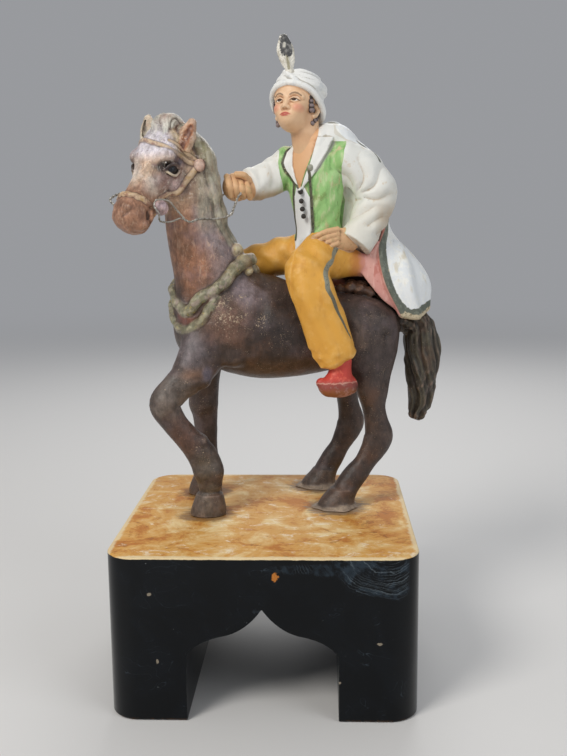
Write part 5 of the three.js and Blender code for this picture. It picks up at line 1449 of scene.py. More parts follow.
def paint_rider_body(piece, p):
    x, y, z = p.T
    near = lambda *names: distances(RIDER, p, names)
    arms = near("reaching", "akimbo_upper", "akimbo_lower", "cuff")
    torso = near("torso", "shirt_front")
    legs = near("seat_pad", *pair("_thigh", "_shin"))
    boots = near(*pair("_boot_top", "_foot", "_toe", "_instep"))
    hands = near("fist", "fist_wrist", "thumb", "palm", *[f"finger_{i}" for i in range(4)],
                 *[f"knuckle_{i}" for i in range(4)])
    flaps, trims, shirt_in = front_fields(p)
    nape = near("nape_collar")
    buttons = near(*[f"button_{i}" for i in range(4)])
    yoke, filling = near("yoke"), near("filling")
    coat = RIDER["coat"]
    index = coat.nearest(p)
    coat_d = coat(p.astype(F32))
    offset = p - coat.points[index]
    outer = -(offset * coat.normals[index]).sum(1)
    edge_run = coat.run[index]
    hem_run = coat.fall[index]
    left, forward = chest_chart(p)
    x_near = np.interp(z, [165, 174, 183, 194, 202, 211, 217], [-8.5, -9.5, -10.6, -6.7, -5.1, -6.5, -9.5])
    x_far = np.interp(z, [184, 190, 198, 205, 212], [22.5, 25.6, 28.1, 28.9, 27.5])
    vest = least(np.where(y > -2, x - x_near, 5), np.where(z > 182, x_far - x, 5), 216.5 - z, z - 160.5,
                 near("akimbo_lower", "cuff") - 0.2)
    upper, dressed = least(torso, arms, yoke, nape), least(arms, legs, torso)
    skin = least((z - 188.6) * 0.375 - np.abs(left + 6), forward - 4)

    t = Tint(p, "#e9e9e2")
    dark = ramp(-7, -12, x) * ramp(156, 149, z) * ramp(1.0, 2.5, coat_d)
    t.lay("#3b2a20", dark)
    t.lay("#d9d3c2", 0.5 * ramp(0, -16, z - 190) * ramp(2, 0, arms))
    t.lay("#a98552", 0.75 * ramp(2, 0, near("reaching")) * ramp(191, 186, z + 0.12 * (x - 30)))
    t.lay("#a5814f", 0.5 * ramp(2, 0, near("akimbo_lower")) * ramp(-22, -30, x) * ramp(186, 174, z))
    t.lay("#b9a582", 0.35 * ramp(2, 0, near("akimbo_upper")) * ramp(-18, -30, x) * ramp(196, 180, z))
    t.store(piece)
    flap_edge = chart_line(left, z, [[12.4, 216], [11, 211], [9.3, 207], [7.2, 203], [4.7, 199.2]])
    side_stripe = [[-1.5, 21, 155.5], [1.3, 23.5, 151.5], [4.6, 28.5, 146.2], [8.4, 35.2, 141], [8.1, 37.5, 135.5],
                   [7.8, 38.6, 132], [4.5, 38.8, 125.5], [1.5, 38.9, 119.5], [-3.6, 38.5, 109], [-7.6, 36.5, 98]]
    back_line = [[-10.3, 8.7, 219.1], [-13.6, 8.2, 217], [-17.2, 8.4, 215.8], [-21.6, 9.5, 213.4],
                 [-25, 12.5, 209.8], [-28.4, 15.8, 205]]
    give(piece, back=x, height=z, fold_side=x + 0.45 * (z - 150), flap_edge=np.where(forward > 2, flap_edge, 9),
         hollow=hollows(piece.data, 2.2), deep=hollows(piece.data, 5), knot=near("shirt_knot"),
         lining=least(arms, legs, hands) - near("lining"), vest=vest, legs=least(coat_d, boots, hands, upper) - legs,
         boots=least(coat_d, legs, hands) - boots, hands=dressed - hands, coat=dressed - coat_d, outer=outer,
         edge_run=edge_run, hem_run=hem_run, collar=np.maximum(flaps, least(arms, torso) - nape), lapel=trims,
         button=buttons, skin=skin, shirt_front=shirt_in, sole=z - np.where(y > 0, 70.3, 74.3),
         ankle=z - np.where(y > 0, 79.5, 83.5), stripe=least(along(p, side_stripe), np.full(len(p), 9.0)),
         line=along(p, back_line), seat=ramp(-6, -13, x) * ramp(160, 152, z) * ramp(0.5, -1.5, filling - coat_d))

    n = Paint("rider_cloth_paint")
    colour = n.tint()
    hollow, deep = n.field("hollow"), n.field("deep")
    blotches = n.noise(2.6, 4, 0.6, shift=3)
    broad = n.noise(11, 4, 0.6, shift=9)
    fine = n.noise(1.0, 3, 0.6, shift=13)
    colour.shade(1.0 + broad * 0.16)
    # painted shade in the folds of the white cloth, and below in the broad folds
    cloth_hollow = (hollow + blotches * 0.2).step(0.0, 0.4)
    colour.over("#a98a5f", cloth_hollow * 0.6)
    colour.over("#b9a27c", (deep + blotches * 0.3).step(0.3, 1.2) * 0.35)
    colour.over("#c8ccc9", (broad - 0.02).step(0.0, 0.16) * 0.35)
    colour.over("#cdb58c", n.noise(5, 4, 0.65, shift=37).step(0.08, 0.2) * 0.45)

    no_coat, no_legs, no_hands = (n.field(name).step(0.1, -0.1) for name in ("coat", "legs", "hands"))
    vest_in = n.field("vest").step(-0.05, 0.15) * no_coat * no_legs * no_hands
    strokes = n.noise(3.4, 4, 0.6, stretch=(1, 1, 0.28), turn=(0, 24, 0), shift=19)
    green = n.mix("#98c67c", "#7aab60", (0.0 - strokes).step(0.02, 0.2))
    green.over("#cbd3a4", (strokes - 0.02).step(0.0, 0.14) * 0.7)
    green.over("#bfdfa2", (broad - 0.03).step(0.0, 0.18) * 0.6)
    green.over("#cbb78c",
               n.noise(4.4, 5, 0.7, stretch=(1, 1, 0.35), turn=(0, 30, 0), shift=117).step(0.07, 0.16) * 0.6)
    green.over("#7d8a45", n.noise(7, 4, 0.65, shift=23).step(0.04, 0.17) * n.field("height").step(200, 178) * 0.75)
    green.over("#d6c49c", n.noise(6, 4, 0.6, shift=53).step(0.0, 0.1) * n.field("height").step(205, 214) * 0.9)
    # painted shade in the creases of the green vest
    green.over("#3f5a2b", (hollow + blotches * 0.12).step(0.03, 0.2) * 0.7)
    colour.over(green, vest_in)
    front = n.field("shirt_front").step(0.0, 0.25) * no_legs
    # the shirt front, with painted shade in its creases
    plain = n.mix("#e4e7e6", "#b9bdb8", (hollow + blotches * 0.15).step(0.0, 0.18))
    colour.over(plain, front)
    skin = n.field("skin").step(-0.1, 0.15) * no_coat * n.field("height").step(187, 189)
    # the skin at the neck opening, with painted shade in its hollows
    flesh = n.mix("#dfae80", "#c48f63", (hollow + blotches * 0.2).step(0.0, 0.2))
    colour.over(flesh, skin)
    collar = n.field("collar").step(-0.05, 0.2)
    # the white collar, with painted shade in its creases
    white = n.mix("#e9e9e4", "#a89c86", (hollow + blotches * 0.12).step(0.02, 0.2) * 0.8)
    colour.over(white, collar)
    trim = (n.field("lapel") + blotches * 0.35).step(1.05, 0.75) * no_legs * no_hands
    olive = n.mix("#5a5a45", "#35362b", (blotches + 0.02).step(0.0, 0.12))
    olive.over("#b9ae8a", (fine + blotches * 0.4).step(0.14, 0.2))
    colour.over(olive, trim)
    flap_edge = (n.field("flap_edge") + blotches * 1.4).step(1.4, 0.4) * n.field("height").step(196, 201)
    colour.over("#98968e", flap_edge * 0.85)
    colour.over("#8f8d78", (n.field("knot") + blotches).step(1.3, 0.9) * 0.85)
    colour.over("#2e2a26", n.field("button").step(0.8, 0.5))

    legs = n.field("legs").step(-0.1, 0.12)
    ochre = n.mix("#e0a544", "#e6b158", (broad + blotches * 0.4).step(0.0, 0.2))
    drawn = n.noise(5, 5, 0.7, stretch=(1, 1, 0.3), turn=(0, 16, 0), shift=115)
    ochre.over("#c98a35", (drawn - 0.02).step(0.0, 0.16) * 0.5)
    # painted shade in the creases and broad folds of the trousers, then a painted highlight on their ridges
    ochre.over("#a5692a", (hollow + blotches * 0.25).step(0.0, 0.5) * 0.85)
    ochre.over("#bb7c33", (deep + broad * 0.8).step(0.2, 1.0) * 0.75)
    ochre.over("#f3d699", (0.0 - hollow + blotches * 0.12).step(0.05, 0.25) * 0.24)
    ochre.over("#c0703f", (n.field("back") + blotches * 5.0).step(-8, -15) * 0.65)
    ochre.over("#cf8f84", (n.field("back") + blotches * 4.0).step(-15, -19) * 0.8)
    ochre.over("#a66d30", n.noise(1.6, 3, 0.7, shift=31).step(0.19, 0.25) * 0.6)
    colour.over(ochre, legs)
    width = n.field("height").step(100, 140) * 1.1 + 0.75
    stripe = (n.field("stripe") - width + blotches * 0.35).step(0.15, -0.15) * legs
    band = n.mix("#6b6857", "#8f907f", (n.field("height") + blotches * 10.0 + broad * 30.0).step(128, 142))
    band.over("#2f2d29", (fine + blotches * 0.5).step(0.05, 0.18) * 0.6)
    colour.over(band, stripe)

    boots = n.field("boots").step(-0.05, 0.1)
    red = n.mix("#c24438", "#da624e", (broad + blotches).step(0.0, 0.2))
    shoe = n.mix("#96493f", "#6b342a", (blotches + broad + fine * 0.3).step(-0.04, 0.16))
    shoe.over("#96602f", (n.field("sole") + blotches * 5.0).step(5.5, 2.5) * 0.7)
    red = n.mix(shoe, red, (n.field("ankle") + blotches * 4.0).step(-2.4, 0.6))
    red.over("#cf9587", n.field("ankle").step(1.0, -1.5) * (broad + blotches * 0.8 + fine * 0.4).step(0.0, 0.14) * 0.45)
    # painted highlight along the rim of the slipper's opening
    red.over("#e8bca6", n.math("ABSOLUTE", n.field("ankle") + 1.2 + blotches * 3.0).step(0.6, 0.1) * 0.45)
    red.over("#3b1f18", (fine + blotches * 0.3).step(0.17, 0.24) * 0.7)
    colour.over(red, boots)

    coat_in = n.field("coat").step(-0.1, 0.1)
    outside = n.field("outer").step(-0.2, 0.4)
    edge = n.field("edge_run").least(n.field("hem_run"))
    sheet = n.mix("#ecefef", "#f8f8f2", (broad + blotches * 0.5).step(-0.02, 0.14))
    # painted shade, bluish grey, in the folds of the coat
    sheet.over("#bfc9cd", (hollow + broad * 0.2).step(0.02, 0.3) * 0.5)
    sheet.over("#d3c4a0", n.noise(6, 4, 0.6, stretch=(1, 1, 0.35), turn=(0, 25, 0), shift=43).step(0.06, 0.2) * 0.55)
    wide = n.field("hem_run").step(9, 4) * 1.2 + 3.4
    trim_in = (edge - wide + blotches * 0.6).step(0.2, -0.2)
    trim_in = trim_in * (n.field("height") + blotches * 3.0).step(186, 178)
    grey = n.mix("#63685c", "#7c8174", (blotches + broad).step(0.0, 0.2))
    grey.over("#3d3f37", (fine + blotches * 0.5).step(0.1, 0.2) * 0.6)
    sheet.over(grey, trim_in)
    brink = edge - wide + 0.4
    flakes = (fine + blotches * 0.8).step(0.12, 0.2) * brink.step(-0.7, -0.1) * brink.step(0.8, 0.2)
    sheet.over("#d9c9a5", flakes * 0.9)
    lining = n.mix("#dca096", "#c98378", (broad + blotches * 0.7).step(0.0, 0.2))
    lining.over("#edc6ba", n.noise(2.4, 4, 0.6, stretch=(1, 1, 0.2), shift=47).step(0.04, 0.2) * 0.6)
    lining.over("#3a211a", n.field("edge_run").step(7.5, 13))
    lining.over("#dcd8cc", n.field("height").step(176, 186))
    rim = n.mix("#cdbfa0", "#8f7f62", (blotches + fine * 0.5).step(0.0, 0.18))
    cloth = n.mix(lining, sheet, outside)
    cloth.over(rim, (n.field("hem_run") + blotches * 0.6).step(0.9, 0.3) * outside.most(0.6))
    colour.over(cloth, coat_in)
    lined = n.mix("#dba69b", "#b4635a", (n.field("fold_side") + broad * 14.0).step(-24, -15))
    lined.over("#edc9bd", n.noise(2.6, 4, 0.65, stretch=(1, 1, 0.3), shift=93).step(0.03, 0.15) * 0.6)
    # painted shade in the creases of the lining
    lined.over("#8a4038", (hollow + blotches * 0.25).step(0.03, 0.2) * 0.6)
    colour.over(lined, n.field("lining").step(-0.3, 0.1) * n.field("coat").step(0.6, 0.0))
    inner = n.mix("#2f2019", "#6b4a35", (broad + blotches * 0.6).step(0.0, 0.16))
    inner.over("#c9b391", (fine + blotches * 0.4).step(0.17, 0.22) * 0.8)
    colour.over(inner, n.field("seat") * n.field("lining").step(0.2, -0.2) * n.field("legs").step(0.3, -0.1))
    colour.over("#6b6e63", (n.field("line") + blotches * 0.4).step(1.15, 0.8))

    hands = n.field("hands").step(-0.1, 0.1)
    flesh = n.mix("#dcb083", "#c8a375", (blotches + broad).step(0.0, 0.2))
    # painted shade between the fingers and in the hand's creases
    flesh.over("#8f5a3c", (hollow + blotches * 0.05).step(0.05, 0.26) * 0.85)
    colour.over(flesh, hands)
    chips = (n.noise(1.7, 3, 0.7, shift=71) + broad * 0.3).step(0.235, 0.26)
    colour.over("#7a5c40", chips * 0.6)
    rough = 0.52 + broad * 0.2 + chips * 0.2
    bump = broad * 0.25 + blotches * 0.4 + fine * 0.25 - chips * 0.6
    piece.data.materials.append(n.finish(colour, rough, bump, 0.3, Specular_IOR_Level=0.45))


paint_rider_body(body, body_points)
settle(body, "rider")


def head_relief(points, normals):
    x, _, z = points.T
    u, v, w = into_frame(points, FACE_PLACE).T
    face = ramp(4, 7, u) * ramp(6, 4, w)
    rough = 0.05 * noise(points, 3, 31) * (1 - face)
    turban = ramp(0.6, 0, HEAD["turban"](points.astype(F32)))
    creases = np.sin(w * 1.7 + 0.55 * v + 0.8 * np.sin(v * 0.25))
    barbs = ramp(0.4, -0.3, HEAD["plume"](points.astype(F32)))
    comb = np.sin((z - 0.9 * np.abs(x - 24.3)) * 3.4)
    return rough + turban * 0.14 * creases + barbs * 0.12 * comb


head, face_of = sculpted("rider_head", head_sculpture(), [-14, -24, 202], [44, 26, 281], HEAD_CELL, head_relief)


def paint_rider_head(piece, p):
    q = into_frame(p, FACE_PLACE)
    u, v, w = q.T
    near = lambda *names: distances(HEAD, p, names)
    turban = near("turban", "rim", "fold")
    plume = near("plume", "shaft")
    curls = near("nape_hair", *pair("_hair", *[f"_curl_{i}" for i in range(CURLS)]))
    face = near("egg", "jaw", "chin", "neck", "near_ear", "far_ear")
    side = np.abs(v)
    eye = near("near_eyeball", "far_eyeball")
    lids = near(*pair("_upper_lid", "_lower_lid"))
    lashes = chart_line(side, w, [[2.4, -3.8], [3.3, -3.2], [4.6, -2.85], [5.8, -3], [7.3, -3.7]])
    iris = least(*[np.linalg.norm((q - [11.6, s * 4.7, -3.0])[:, 1:], axis=1) + 9 * (u < 8) for _, s in SIDES])
    brows = chart_line(side, w, [[2.3, -0.8], [3.6, 0], [5, 0.35], [6.6, 0.1], [8.2, -0.8]])
    lips = near("upper_lip", "lower_lip")
    t = Tint(p, "#e9c19a")
    flush = least(*[np.linalg.norm((q - [9, s * 6.6, -7.8]) / [6, 3.2, 2.8], axis=1) for _, s in SIDES])
    t.lay("#d9725a", 0.75 * ramp(1.3, 0.3, flush))
    t.lay("#c99a72", 0.5 * ramp(-17, -20, w))
    t.lay("#d9b48c", 0.6 * ramp(-22, -27, w))
    t.dab("#c08a62", out_of_frame([[1, 9, -10]], FACE_PLACE)[0], (3.5, 3.5, 4), 0.35)
    t.lay("#d9a27a", 0.35 * ramp(2.6, 1.2, np.abs(w + 8.6)) * ramp(3, 1, side) * (u > 11))
    t.lay("#d6a988", 0.4 * ramp(1.5, 0.5, near(*pair("_socket"))) * (u > 6))
    t.store(piece)
    give(piece, hollow=hollows(piece.data, 1.35), turban=least(face, curls, plume) - turban,
         plume=least(turban, face) - plume, curls=least(turban, face) - curls, eye=eye, lids=lids, lashes=lashes,
         iris=iris, brows=brows, lips=lips, front=u, patch=along(p, [[24.9, 5.2, 273.5], [24.2, 5.2, 267.5]], 3.8),
         spot=along(p, [[25.6, 5.6, 271.4], [25.9, 5.6, 270]], 0.5),
         vein=along(p, [[24.4, 5.6, 266.5], [23.2, 5.6, 258]], 0.5))

    n = Paint("rider_head_paint")
    colour = n.tint()
    hollow = n.field("hollow")
    blotches = n.noise(2.2, 4, 0.6, shift=3)
    broad = n.noise(8, 4, 0.6, shift=5)
    fine = n.noise(0.9, 3, 0.6, shift=7)
    colour.shade(1.0 + blotches * 0.12)
    # painted shade in the hollows of the skin and painted highlight on its raised parts
    colour.over("#b5805a", (hollow + blotches * 0.05).step(0.02, 0.14) * 0.5)
    colour.over("#f3dcbc", (0.0 - hollow + blotches * 0.05).step(0.04, 0.2) * 0.25)
    facing = n.field("front").step(5.5, 7.0)
    white_of_eye = n.field("eye").step(0.22, 0.1) * facing * n.field("lids").step(0.02, 0.14)
    colour.over("#efe9dd", white_of_eye)
    colour.over("#4a3020", n.field("iris").step(1.35, 1.15) * white_of_eye)
    colour.over("#15100d", n.field("iris").step(0.7, 0.5) * white_of_eye)
    colour.over("#4b3122", n.field("lashes").step(0.4, 0.18) * facing * 0.85)
    colour.over("#6b4a35", (n.field("brows") + blotches * 0.5).step(0.62, 0.25) * facing * 0.7)
    lips = (n.field("lips") + blotches * 0.1).step(0.16, 0.0) * facing
    colour.over("#c05a4c", lips)
    # painted shade in the hollows of the lips
    colour.over("#7e3428", lips * hollow.step(0.03, 0.12))
    hair = n.field("curls").step(-0.05, 0.1)
    # the hair: dark, with a painted highlight on the raised curls
    dark = n.mix("#332621", "#8b7c7c", (0.0 - hollow + blotches * 0.1).step(0.02, 0.2))
    colour.over(dark, hair)
    cloth = n.mix("#f0f0ec", "#d6dadb", (broad + blotches * 0.4).step(0.02, 0.2) * 0.6)
    # painted shade in the creases of the turban cloth
    cloth.over("#9c9484", (hollow + blotches * 0.06).step(0.02, 0.16) * 0.6)
    cloth.over("#c9b793", n.noise(3.2, 3, 0.6, shift=15).step(0.13, 0.22) * 0.5)
    colour.over(cloth, n.field("turban").step(-0.05, 0.08))
    feather = n.mix("#e6e2d6", "#c3bdae", (broad + blotches).step(0.0, 0.16))
    feather.over("#8d8767", (n.field("vein") + blotches * 1.2).step(0.9, 0.0) * 0.8)
    ink = n.mix("#4a4a4a", "#83827f", (broad + blotches * 0.7).step(-0.02, 0.14))
    feather.over(ink, (n.field("patch") + blotches * 5.0 + broad * 5.0).step(0.3, -0.6))
    feather.over("#c9c6bb", (n.field("spot") + blotches).step(0.7, 0.1))
    colour.over(feather, n.field("plume").step(-0.05, 0.05))
    wet = n.field("eye").step(0.22, 0.1) * facing
    rough = 0.46 + broad * 0.15 + n.field("turban").step(-0.05, 0.08) * 0.12 - wet * 0.2
    bump = blotches * 0.4 + fine * 0.3
    piece.data.materials.append(n.finish(colour, rough, bump, 0.14, Specular_IOR_Level=0.45))


paint_rider_head(head, face_of)
settle(head, "rider")


# Stand: a round-cornered block with an ogee arch cut right through it.
def stand_mesh():
    half, radius, corners = STAND_SIDE / 2, 16.0, 14

    def ring(inset, z):
        points = []
        for cx, cy, start in ((1, 1, 0), (-1, 1, 90), (-1, -1, 180), (1, -1, 270)):
            for i in range(corners + 1):
                turn = math.radians(start + 90 * i / corners)
                reach = radius - inset
                points.append((cx * (half - radius) + reach * math.cos(turn) + STAND_CENTRE[0],
                               cy * (half - radius) + reach * math.sin(turn), z))
        return points

    eased = ((1, 0), (0.62, 0.08), (0.29, 0.29), (0.08, 0.62), (0, 1))
    rings = [ring(inset, z) for inset, z in eased]
    rings += [ring(inset, STAND_HEIGHT - z) for inset, z in eased[::-1]]
    bm = bmesh.new()
    loops = [[bm.verts.new(v) for v in points] for points in rings]
    count = len(loops[0])
    for low, high in zip(loops, loops[1:]):
        for i in range(count):
            j = (i + 1) % count
            bm.faces.new((low[i], low[j], high[j], high[i]))
    bm.faces.new(loops[0][::-1])
    bm.faces.new(loops[-1])
    block = bpy.data.meshes.new("stand_block")
    bm.to_mesh(block)
    bm.free()

    def bow(a, b, c, count=18):
        a, b, c = map(np.array, (a, b, c))
        t = np.linspace(0, 1, count + 1)[1:, None]
        return [tuple(v) for v in (1 - t) ** 2 * a + 2 * t * (1 - t) * b + t**2 * c]

    haunch = (19.2, 47.44)
    right = [(40, -5), (40, 36)] + bow((40, 36), (35, 44.44), haunch) + bow(haunch, (8, 50.44), (0, 62))
    outline = right + [(-x, z) for x, z in right[-2::-1]]
    bm = bmesh.new()
    front = [bm.verts.new((x + STAND_CENTRE[0], -100, z)) for x, z in outline]
    back = [bm.verts.new((x + STAND_CENTRE[0], 100, z)) for x, z in outline]
    count = len(outline)
    for i in range(count):
        j = (i + 1) % count
        bm.faces.new((front[i], front[j], back[j], back[i]))
    bm.faces.new(front[::-1])
    bm.faces.new(back)
    bmesh.ops.recalc_face_normals(bm, faces=bm.faces)
    tunnel = bpy.data.meshes.new("stand_tunnel")
    bm.to_mesh(tunnel)
    bm.free()

    solid, cutter = linked("stand_block", block), linked("stand_tunnel", tunnel)
    cut = solid.modifiers.new("arch", "BOOLEAN")
    cut.operation, cut.object, cut.solver = "DIFFERENCE", cutter, "EXACT"
    rounded = solid.modifiers.new("eased", "BEVEL")
    rounded.width, rounded.segments, rounded.limit_method = 0.5, 2, "ANGLE"
    rounded.angle_limit = math.radians(50)
    bpy.context.view_layer.update()
    mesh = bpy.data.meshes.new_from_object(solid.evaluated_get(bpy.context.evaluated_depsgraph_get()))
    for piece in (solid, cutter):
        bpy.data.objects.remove(piece)
    mesh.transform(Matrix.Scale(0.001, 4))
    mesh.name = "wooden_stand"
    return mesh


stand = linked("wooden_stand", stand_mesh())
stands_for(stand, "stand")
stand.data.set_sharp_from_angle(angle=math.radians(40))

n = Paint("stand_paint")
parts = n.nodes.new("ShaderNodeSeparateXYZ")
n.links.new(n.place, parts.inputs[0])
x, y, z = [Number(n, parts.outputs[i]) * 1000.0 for i in range(3)]


def spot(n, x, z, cx, cz, wide, high):
    """0 at a place, 1 at the rim of the oval round it."""
    dx, dz = (x - cx) * (1 / wide), (z - cz) * (1 / high)
    return n.math("POWER", dx * dx + dz * dz, 0.5)


blotches = n.noise(3, 4, 0.65, shift=3)
broad = n.noise(26, 5, 0.62, shift=5, twist=0.8)
streaks = n.noise(11, 5, 0.68, stretch=(0.5, 1, 1), turn=(0, 0, 25), shift=9, twist=1.2)
fine = n.noise(1.2, 4, 0.7, shift=13)
black = n.mix("#020509", "#060b11", (broad + 0.02).step(-0.05, 0.2))
thin = n.math("ABSOLUTE", n.noise(34, 1, 0.5, stretch=(1, 1, 1.6), shift=21, twist=3.0))
front = y.step(-75, -80)
soft_haze = n.noise(9, 5, 0.7, shift=119, twist=1.0)
swirl = spot(n, x + broad * 9.0, z + broad * 7.0, 58, 100, 1, 1)
ring = (swirl + streaks * 9.0).step(34, 30) * x.step(70, 67)
ring = ring.most(spot(n, x, z + streaks * 6.0, 24, 84, 30, 3.2).step(1.1, 0.7) * 0.7) * front
black.over("#2a3640", ring * (streaks + soft_haze).step(-0.1, 0.16) * 0.8)
for tight, shift, thin_line in ((0.55, 0.0, 0.2), (1.15, 0.9, 0.24), (2.1, 2.1, 0.3)):
    arcs = n.math("ABSOLUTE", n.math("SINE", swirl * tight + streaks * 2.6 + shift))
    some = n.noise(22, 3, 0.6, shift=111 + tight).step(-0.04, 0.1)
    black.over("#6f7b82", ring * arcs.step(thin_line, 0.02) * some * 0.4)
black.over("#3c474f", (thin + fine * 0.02).step(0.0035, 0.0008) * (broad - 0.02).step(0.0, 0.1) * 0.5)
dots = n.noise(1.3, 2, 0.6, shift=61)
black.over("#8b8f8d", (dots + broad * 0.2).step(0.27, 0.3) * 0.6)
chip = spot(n, x + blotches * 4.0, z + blotches * 3.0, -0.3, 80, 1.8, 2.7).step(1.0, 0.8) * y.step(-75, -80)
for cx, cz, wide, high in ((-62.8, 33, 0.8, 1.4), (54, 44, 1.6, 0.7), (-66, 70, 1.3, 0.8), (33, 22, 0.7, 0.7),
                           (-41.5, 20, 0.6, 3.5)):
    mark = spot(n, x + blotches * 3.0, z + blotches * 3.0, cx, cz, wide, high).step(1.1, 0.7) * y.step(-75, -80)
    black.over("#9b8f7c", mark * 0.75)
worn_edge = (z + blotches * 2.2).step(1.6, 0.6) * (fine + blotches).step(0.0, 0.1)
black.over("#6b4a2c", worn_edge * 0.5)
black.over("#b5702f", chip)

wide = n.noise(48, 5, 0.66, shift=77, twist=1.4)
soft = n.noise(20, 6, 0.7, shift=79, twist=0.9)
ground = n.mix("#d8a254", "#eccf96", (soft + wide * 0.7).step(-0.02, 0.22))
ground.over("#b96d22", (0.0 - soft - wide * 1.2 + blotches * 0.3).step(0.0, 0.2) * 0.8)
ground.over("#8f5a28", (n.noise(10, 6, 0.75, shift=31, twist=1.0) - wide * 0.8).step(0.1, 0.22) * 0.65)
ground.over("#f6ead0",
            (n.noise(7, 6, 0.78, stretch=(0.7, 1, 1), shift=37, twist=0.8) + wide * 0.5).step(0.06, 0.18) * 0.75)
ground.over("#b57c3c", y.step(10, 75) * (streaks + 0.05).step(-0.1, 0.1) * 0.4)
ground.over("#5c4128", (fine + blotches * 0.6).step(0.16, 0.26) * 0.6)
for fx, fy, reach in ((77, 23, 17), (75, -23, 17), (0, 24, 19), (1.3, -24, 19)):
    spot_row = to_row(np.array([[fx, fy, 0.0]]))[0] * 1000
    plaster = spot(n, x + streaks * 26.0, y + blotches * 10.0 + streaks * 14.0, float(spot_row[0]),
                   float(spot_row[1]), reach, reach)
    ground.over("#6d4a2d", plaster.step(1.15, 0.7) * 0.75)
    if fx < 10:
        ground.over("#9c8a74", (plaster + blotches * 1.4 + fine * 0.6).step(0.95, 0.7) * 0.6)
edge = n.math("MAXIMUM", n.math("ABSOLUTE", x - STAND_CENTRE[0]), n.math("ABSOLUTE", y))
ground.over("#ead7ac", (edge + blotches * 3.0 + streaks * 4.0).step(79.0, 80.6) * 0.8)
painted = (z + blotches * 0.7).step(89.0, 89.35)
colour = n.mix(black, ground, painted)
rim_chips = (n.noise(4.5, 3, 0.7, shift=71) + fine * 0.3).step(0.2, 0.24) * z.step(88.2, 89.2) * edge.step(80.0, 81.5)
colour.over("#3a2a20", rim_chips)
rough = n.math("ADD", 0.16 + (broad * 0.12) + ring * 0.15 + chip * 0.4, painted * 0.42)
bump = painted * (streaks * 0.8 + blotches * 0.7 + fine
                  * 0.4) + blotches * 0.06 + broad * 0.25 - chip * 1.0 - rim_chips * 0.8
stand.data.materials.append(n.finish(colour, rough, bump, 0.4, Specular_IOR_Level=0.22))


# Rein wire: two thin wires twisted together along the solid's route.
def tube(points, radius, sides=8):
    points = np.asarray(points, float)
    tangent = np.gradient(points, axis=0)
    tangent /= np.linalg.norm(tangent, axis=1)[:, None]
    side = unit(np.cross(tangent[0], [0.3, 0.2, 1]))
    rows = []
    for t in tangent:
        side = unit(side - t * (side @ t))
        rows.append(side)
    first = np.array(rows)
    second = np.cross(tangent, first)
    angle = np.linspace(0, 2 * math.pi, sides, endpoint=False)
    ring = first[:, None] * np.cos(angle)[None, :, None] + second[:, None] * np.sin(angle)[None, :, None]
    vertices = (points[:, None] + ring * radius).reshape(-1, 3)
    faces = []
    for i in range(len(points) - 1):
        for j in range(sides):
            k = (j + 1) % sides
            faces.append((i * sides + j, i * sides + k, (i + 1) * sides + k, (i + 1) * sides + j))
    return vertices, faces, first, second


def twisted(rows, radius, apart, pitch):
    line = curve_through(rows, len(rows) * 60)
    run = np.concatenate([[0], np.cumsum(np.linalg.norm(np.diff(line, axis=0), axis=1))])
    at = np.arange(0, run[-1], 0.35)
    line = np.stack([np.interp(at, run, column) for column in line.T], 1)
    _, _, first, second = tube(line, 1)
    vertices, faces = [], []
    for half in (0, math.pi):
        turn = 2 * math.pi * at / pitch + half
        path = line + apart * (np.cos(turn)[:, None] * first + np.sin(turn)[:, None] * second)
        more, quads, _, _ = tube(path, radius)
        ends = len(vertices)
        vertices += list(more)
        faces += [tuple(v + ends for v in quad) for quad in quads]
        last = ends + len(more)
        faces += [(ends + 7, ends + 6, ends + 5, ends + 4), (ends + 7, ends + 4, ends + 3, ends),
                  (ends + 3, ends + 2, ends + 1, ends),
                  (last - 8, last - 7, last - 6, last - 5), (last - 8, last - 5, last - 4, last - 1),
                  (last - 4, last - 3, last - 2, last - 1)]
    return vertices, faces


FAR_REIN = [[123.9, -2, 179.3], [127.5, -4, 184.5], [119, -4, 188], [111, -9, 183], [99, -15, 177], [86, -18, 175],
            [72, -17, 179], [61, -10, 187], [58, -3, 190], [54, 2, 190]]
NEAR_REIN = [[54, 2, 190], [51, 7, 189], [54.2, 8.5, 185], [56.9, 10, 179.2], [59.4, 11.5, 174.7], [68.6, 15, 172.4],
             [77.5, 18, 172.5], [83.3, 20, 170.9], [87.9, 22, 173.1]]
BIT_LOOP = [[86.5, 21.6, 172.6], [91.8, 24.5, 178.7], [95.6, 27.5, 182.5], [101.8, 30.5, 183], [103.5, 31, 179.8],
            [101, 31, 175.5], [100.4, 29, 171.6], [94.9, 26.5, 171], [88.5, 22.8, 173.2]]
wire_vertices, wire_faces = [], []
for rows, radius, apart in ((FAR_REIN, 0.42, 0.36), (NEAR_REIN, 0.42, 0.36), (BIT_LOOP, 0.34, 0.26)):
    more, faces = twisted(rows, radius, apart, 4.6)
    start = len(wire_vertices)
    wire_vertices += more
    wire_faces += [tuple(v + start for v in face) for face in faces]
wire_mesh = bpy.data.meshes.new("twisted_rein")
wire_mesh.from_pydata([tuple(v) for v in to_row(np.array(wire_vertices))], [], wire_faces)
rein = linked("twisted_rein", wire_mesh)
stands_for(rein, "rein_wire")
n = Paint("rein_steel")
dull = n.noise(4, 3, 0.6)
specks = n.noise(0.7, 3, 0.7, shift=5)
steel = n.mix("#b9b6ae", "#7d786e", (dull + specks * 0.5).step(-0.05, 0.2))
steel.over("#5a4330", (dull * 0.8 + specks).step(0.16, 0.3) * 0.6)
rein.data.materials.append(n.finish(steel, 0.38 + dull * 0.3, specks, 0.05, Metallic=0.85))


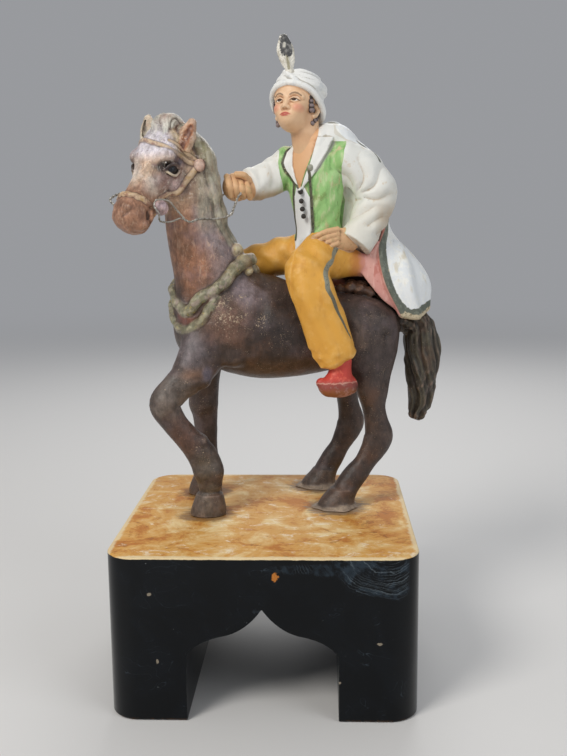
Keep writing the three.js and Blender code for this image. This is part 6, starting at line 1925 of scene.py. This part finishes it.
# Floor, light and camera.
def ground_disc(radius, height):
    bm = bmesh.new()
    bmesh.ops.create_circle(bm, cap_ends=True, cap_tris=True, segments=96, radius=radius)
    bmesh.ops.translate(bm, vec=(0, 0, height), verts=bm.verts)
    mesh = bpy.data.meshes.new("floor")
    bm.to_mesh(mesh)
    bm.free()
    return linked("floor", mesh)


def area_light(name, place, target, size, power, colour=(1, 1, 1)):
    light = bpy.data.lights.new(name, "AREA")
    light.shape = "DISK"
    light.size = size
    light.energy = power
    light.color = colour
    piece = linked(name, light)
    piece.location = place
    piece.rotation_euler = (Vector(target) - Vector(place)).to_track_quat("-Z", "Y").to_euler()


ROOM, ROOM_LIGHT = (0.93, 0.95, 1.0), 0.34
floor = ground_disc(12, -0.0002)
n = Paint("pale_floor")
n.put(n.shader.inputs["Base Color"], (0.74, 0.73, 0.71, 1))
n.put(n.shader.inputs["Roughness"], 0.6)
# far from the object the floor takes on the tone of the room, so that no edge shows behind it
away = n.new("VectorMath", {0: n.new("NewGeometry").outputs["Position"]}, operation="LENGTH").outputs["Value"]
fade = n.new("MapRange", {"Value": away, "From Min": 0.35, "From Max": 2.6}, interpolation_type="SMOOTHSTEP")
room = n.new("Emission", {"Color": (*ROOM, 1), "Strength": ROOM_LIGHT})
shown = n.new("MixShader", {0: fade.outputs["Result"], 1: n.shader.outputs[0], 2: room.outputs[0]})
n.links.new(shown.outputs[0], n.nodes["Material Output"].inputs["Surface"])
floor.data.materials.append(n.material)

bpy.context.scene.view_settings.view_transform = "Standard"
world = bpy.data.worlds.new("studio")
bpy.context.scene.world = world
world.use_nodes = True
world.node_tree.nodes["Background"].inputs["Color"].default_value = (*ROOM, 1)
world.node_tree.nodes["Background"].inputs["Strength"].default_value = ROOM_LIGHT
area_light("key_light", (-0.75, -0.9, 1.15), (0, 0, 0.22), 0.6, 13, (1, 0.97, 0.93))
area_light("fill_light", (0.95, -0.75, 0.8), (0, 0, 0.2), 0.9, 4, (0.93, 0.96, 1))
area_light("back_light", (0.1, 1.1, 0.9), (0, 0, 0.2), 0.8, 5)

FOCAL_PIXELS, PHOTO_HEIGHT = 943.4, 756
CAMERA_PLACE = (0.0240, -0.5443, 0.2596)
camera = linked("camera", bpy.data.cameras.new("camera"))
camera.data.sensor_width = 36
camera.data.lens = FOCAL_PIXELS * 36 / PHOTO_HEIGHT
camera.data.clip_start = 0.01
camera.data.clip_end = 50
RIGHT, RISE, AHEAD = (0.9992, 0.0390, -0.0099), (0.0035, 0.1620, 0.9868), (-0.0400, 0.9860, -0.1617)
camera.matrix_world = Matrix([
    [RIGHT[i], RISE[i], -AHEAD[i], CAMERA_PLACE[i]] for i in range(3)] + [[0, 0, 0, 1]])
bpy.context.scene.camera = camera

bpy.context.view_layer.update()
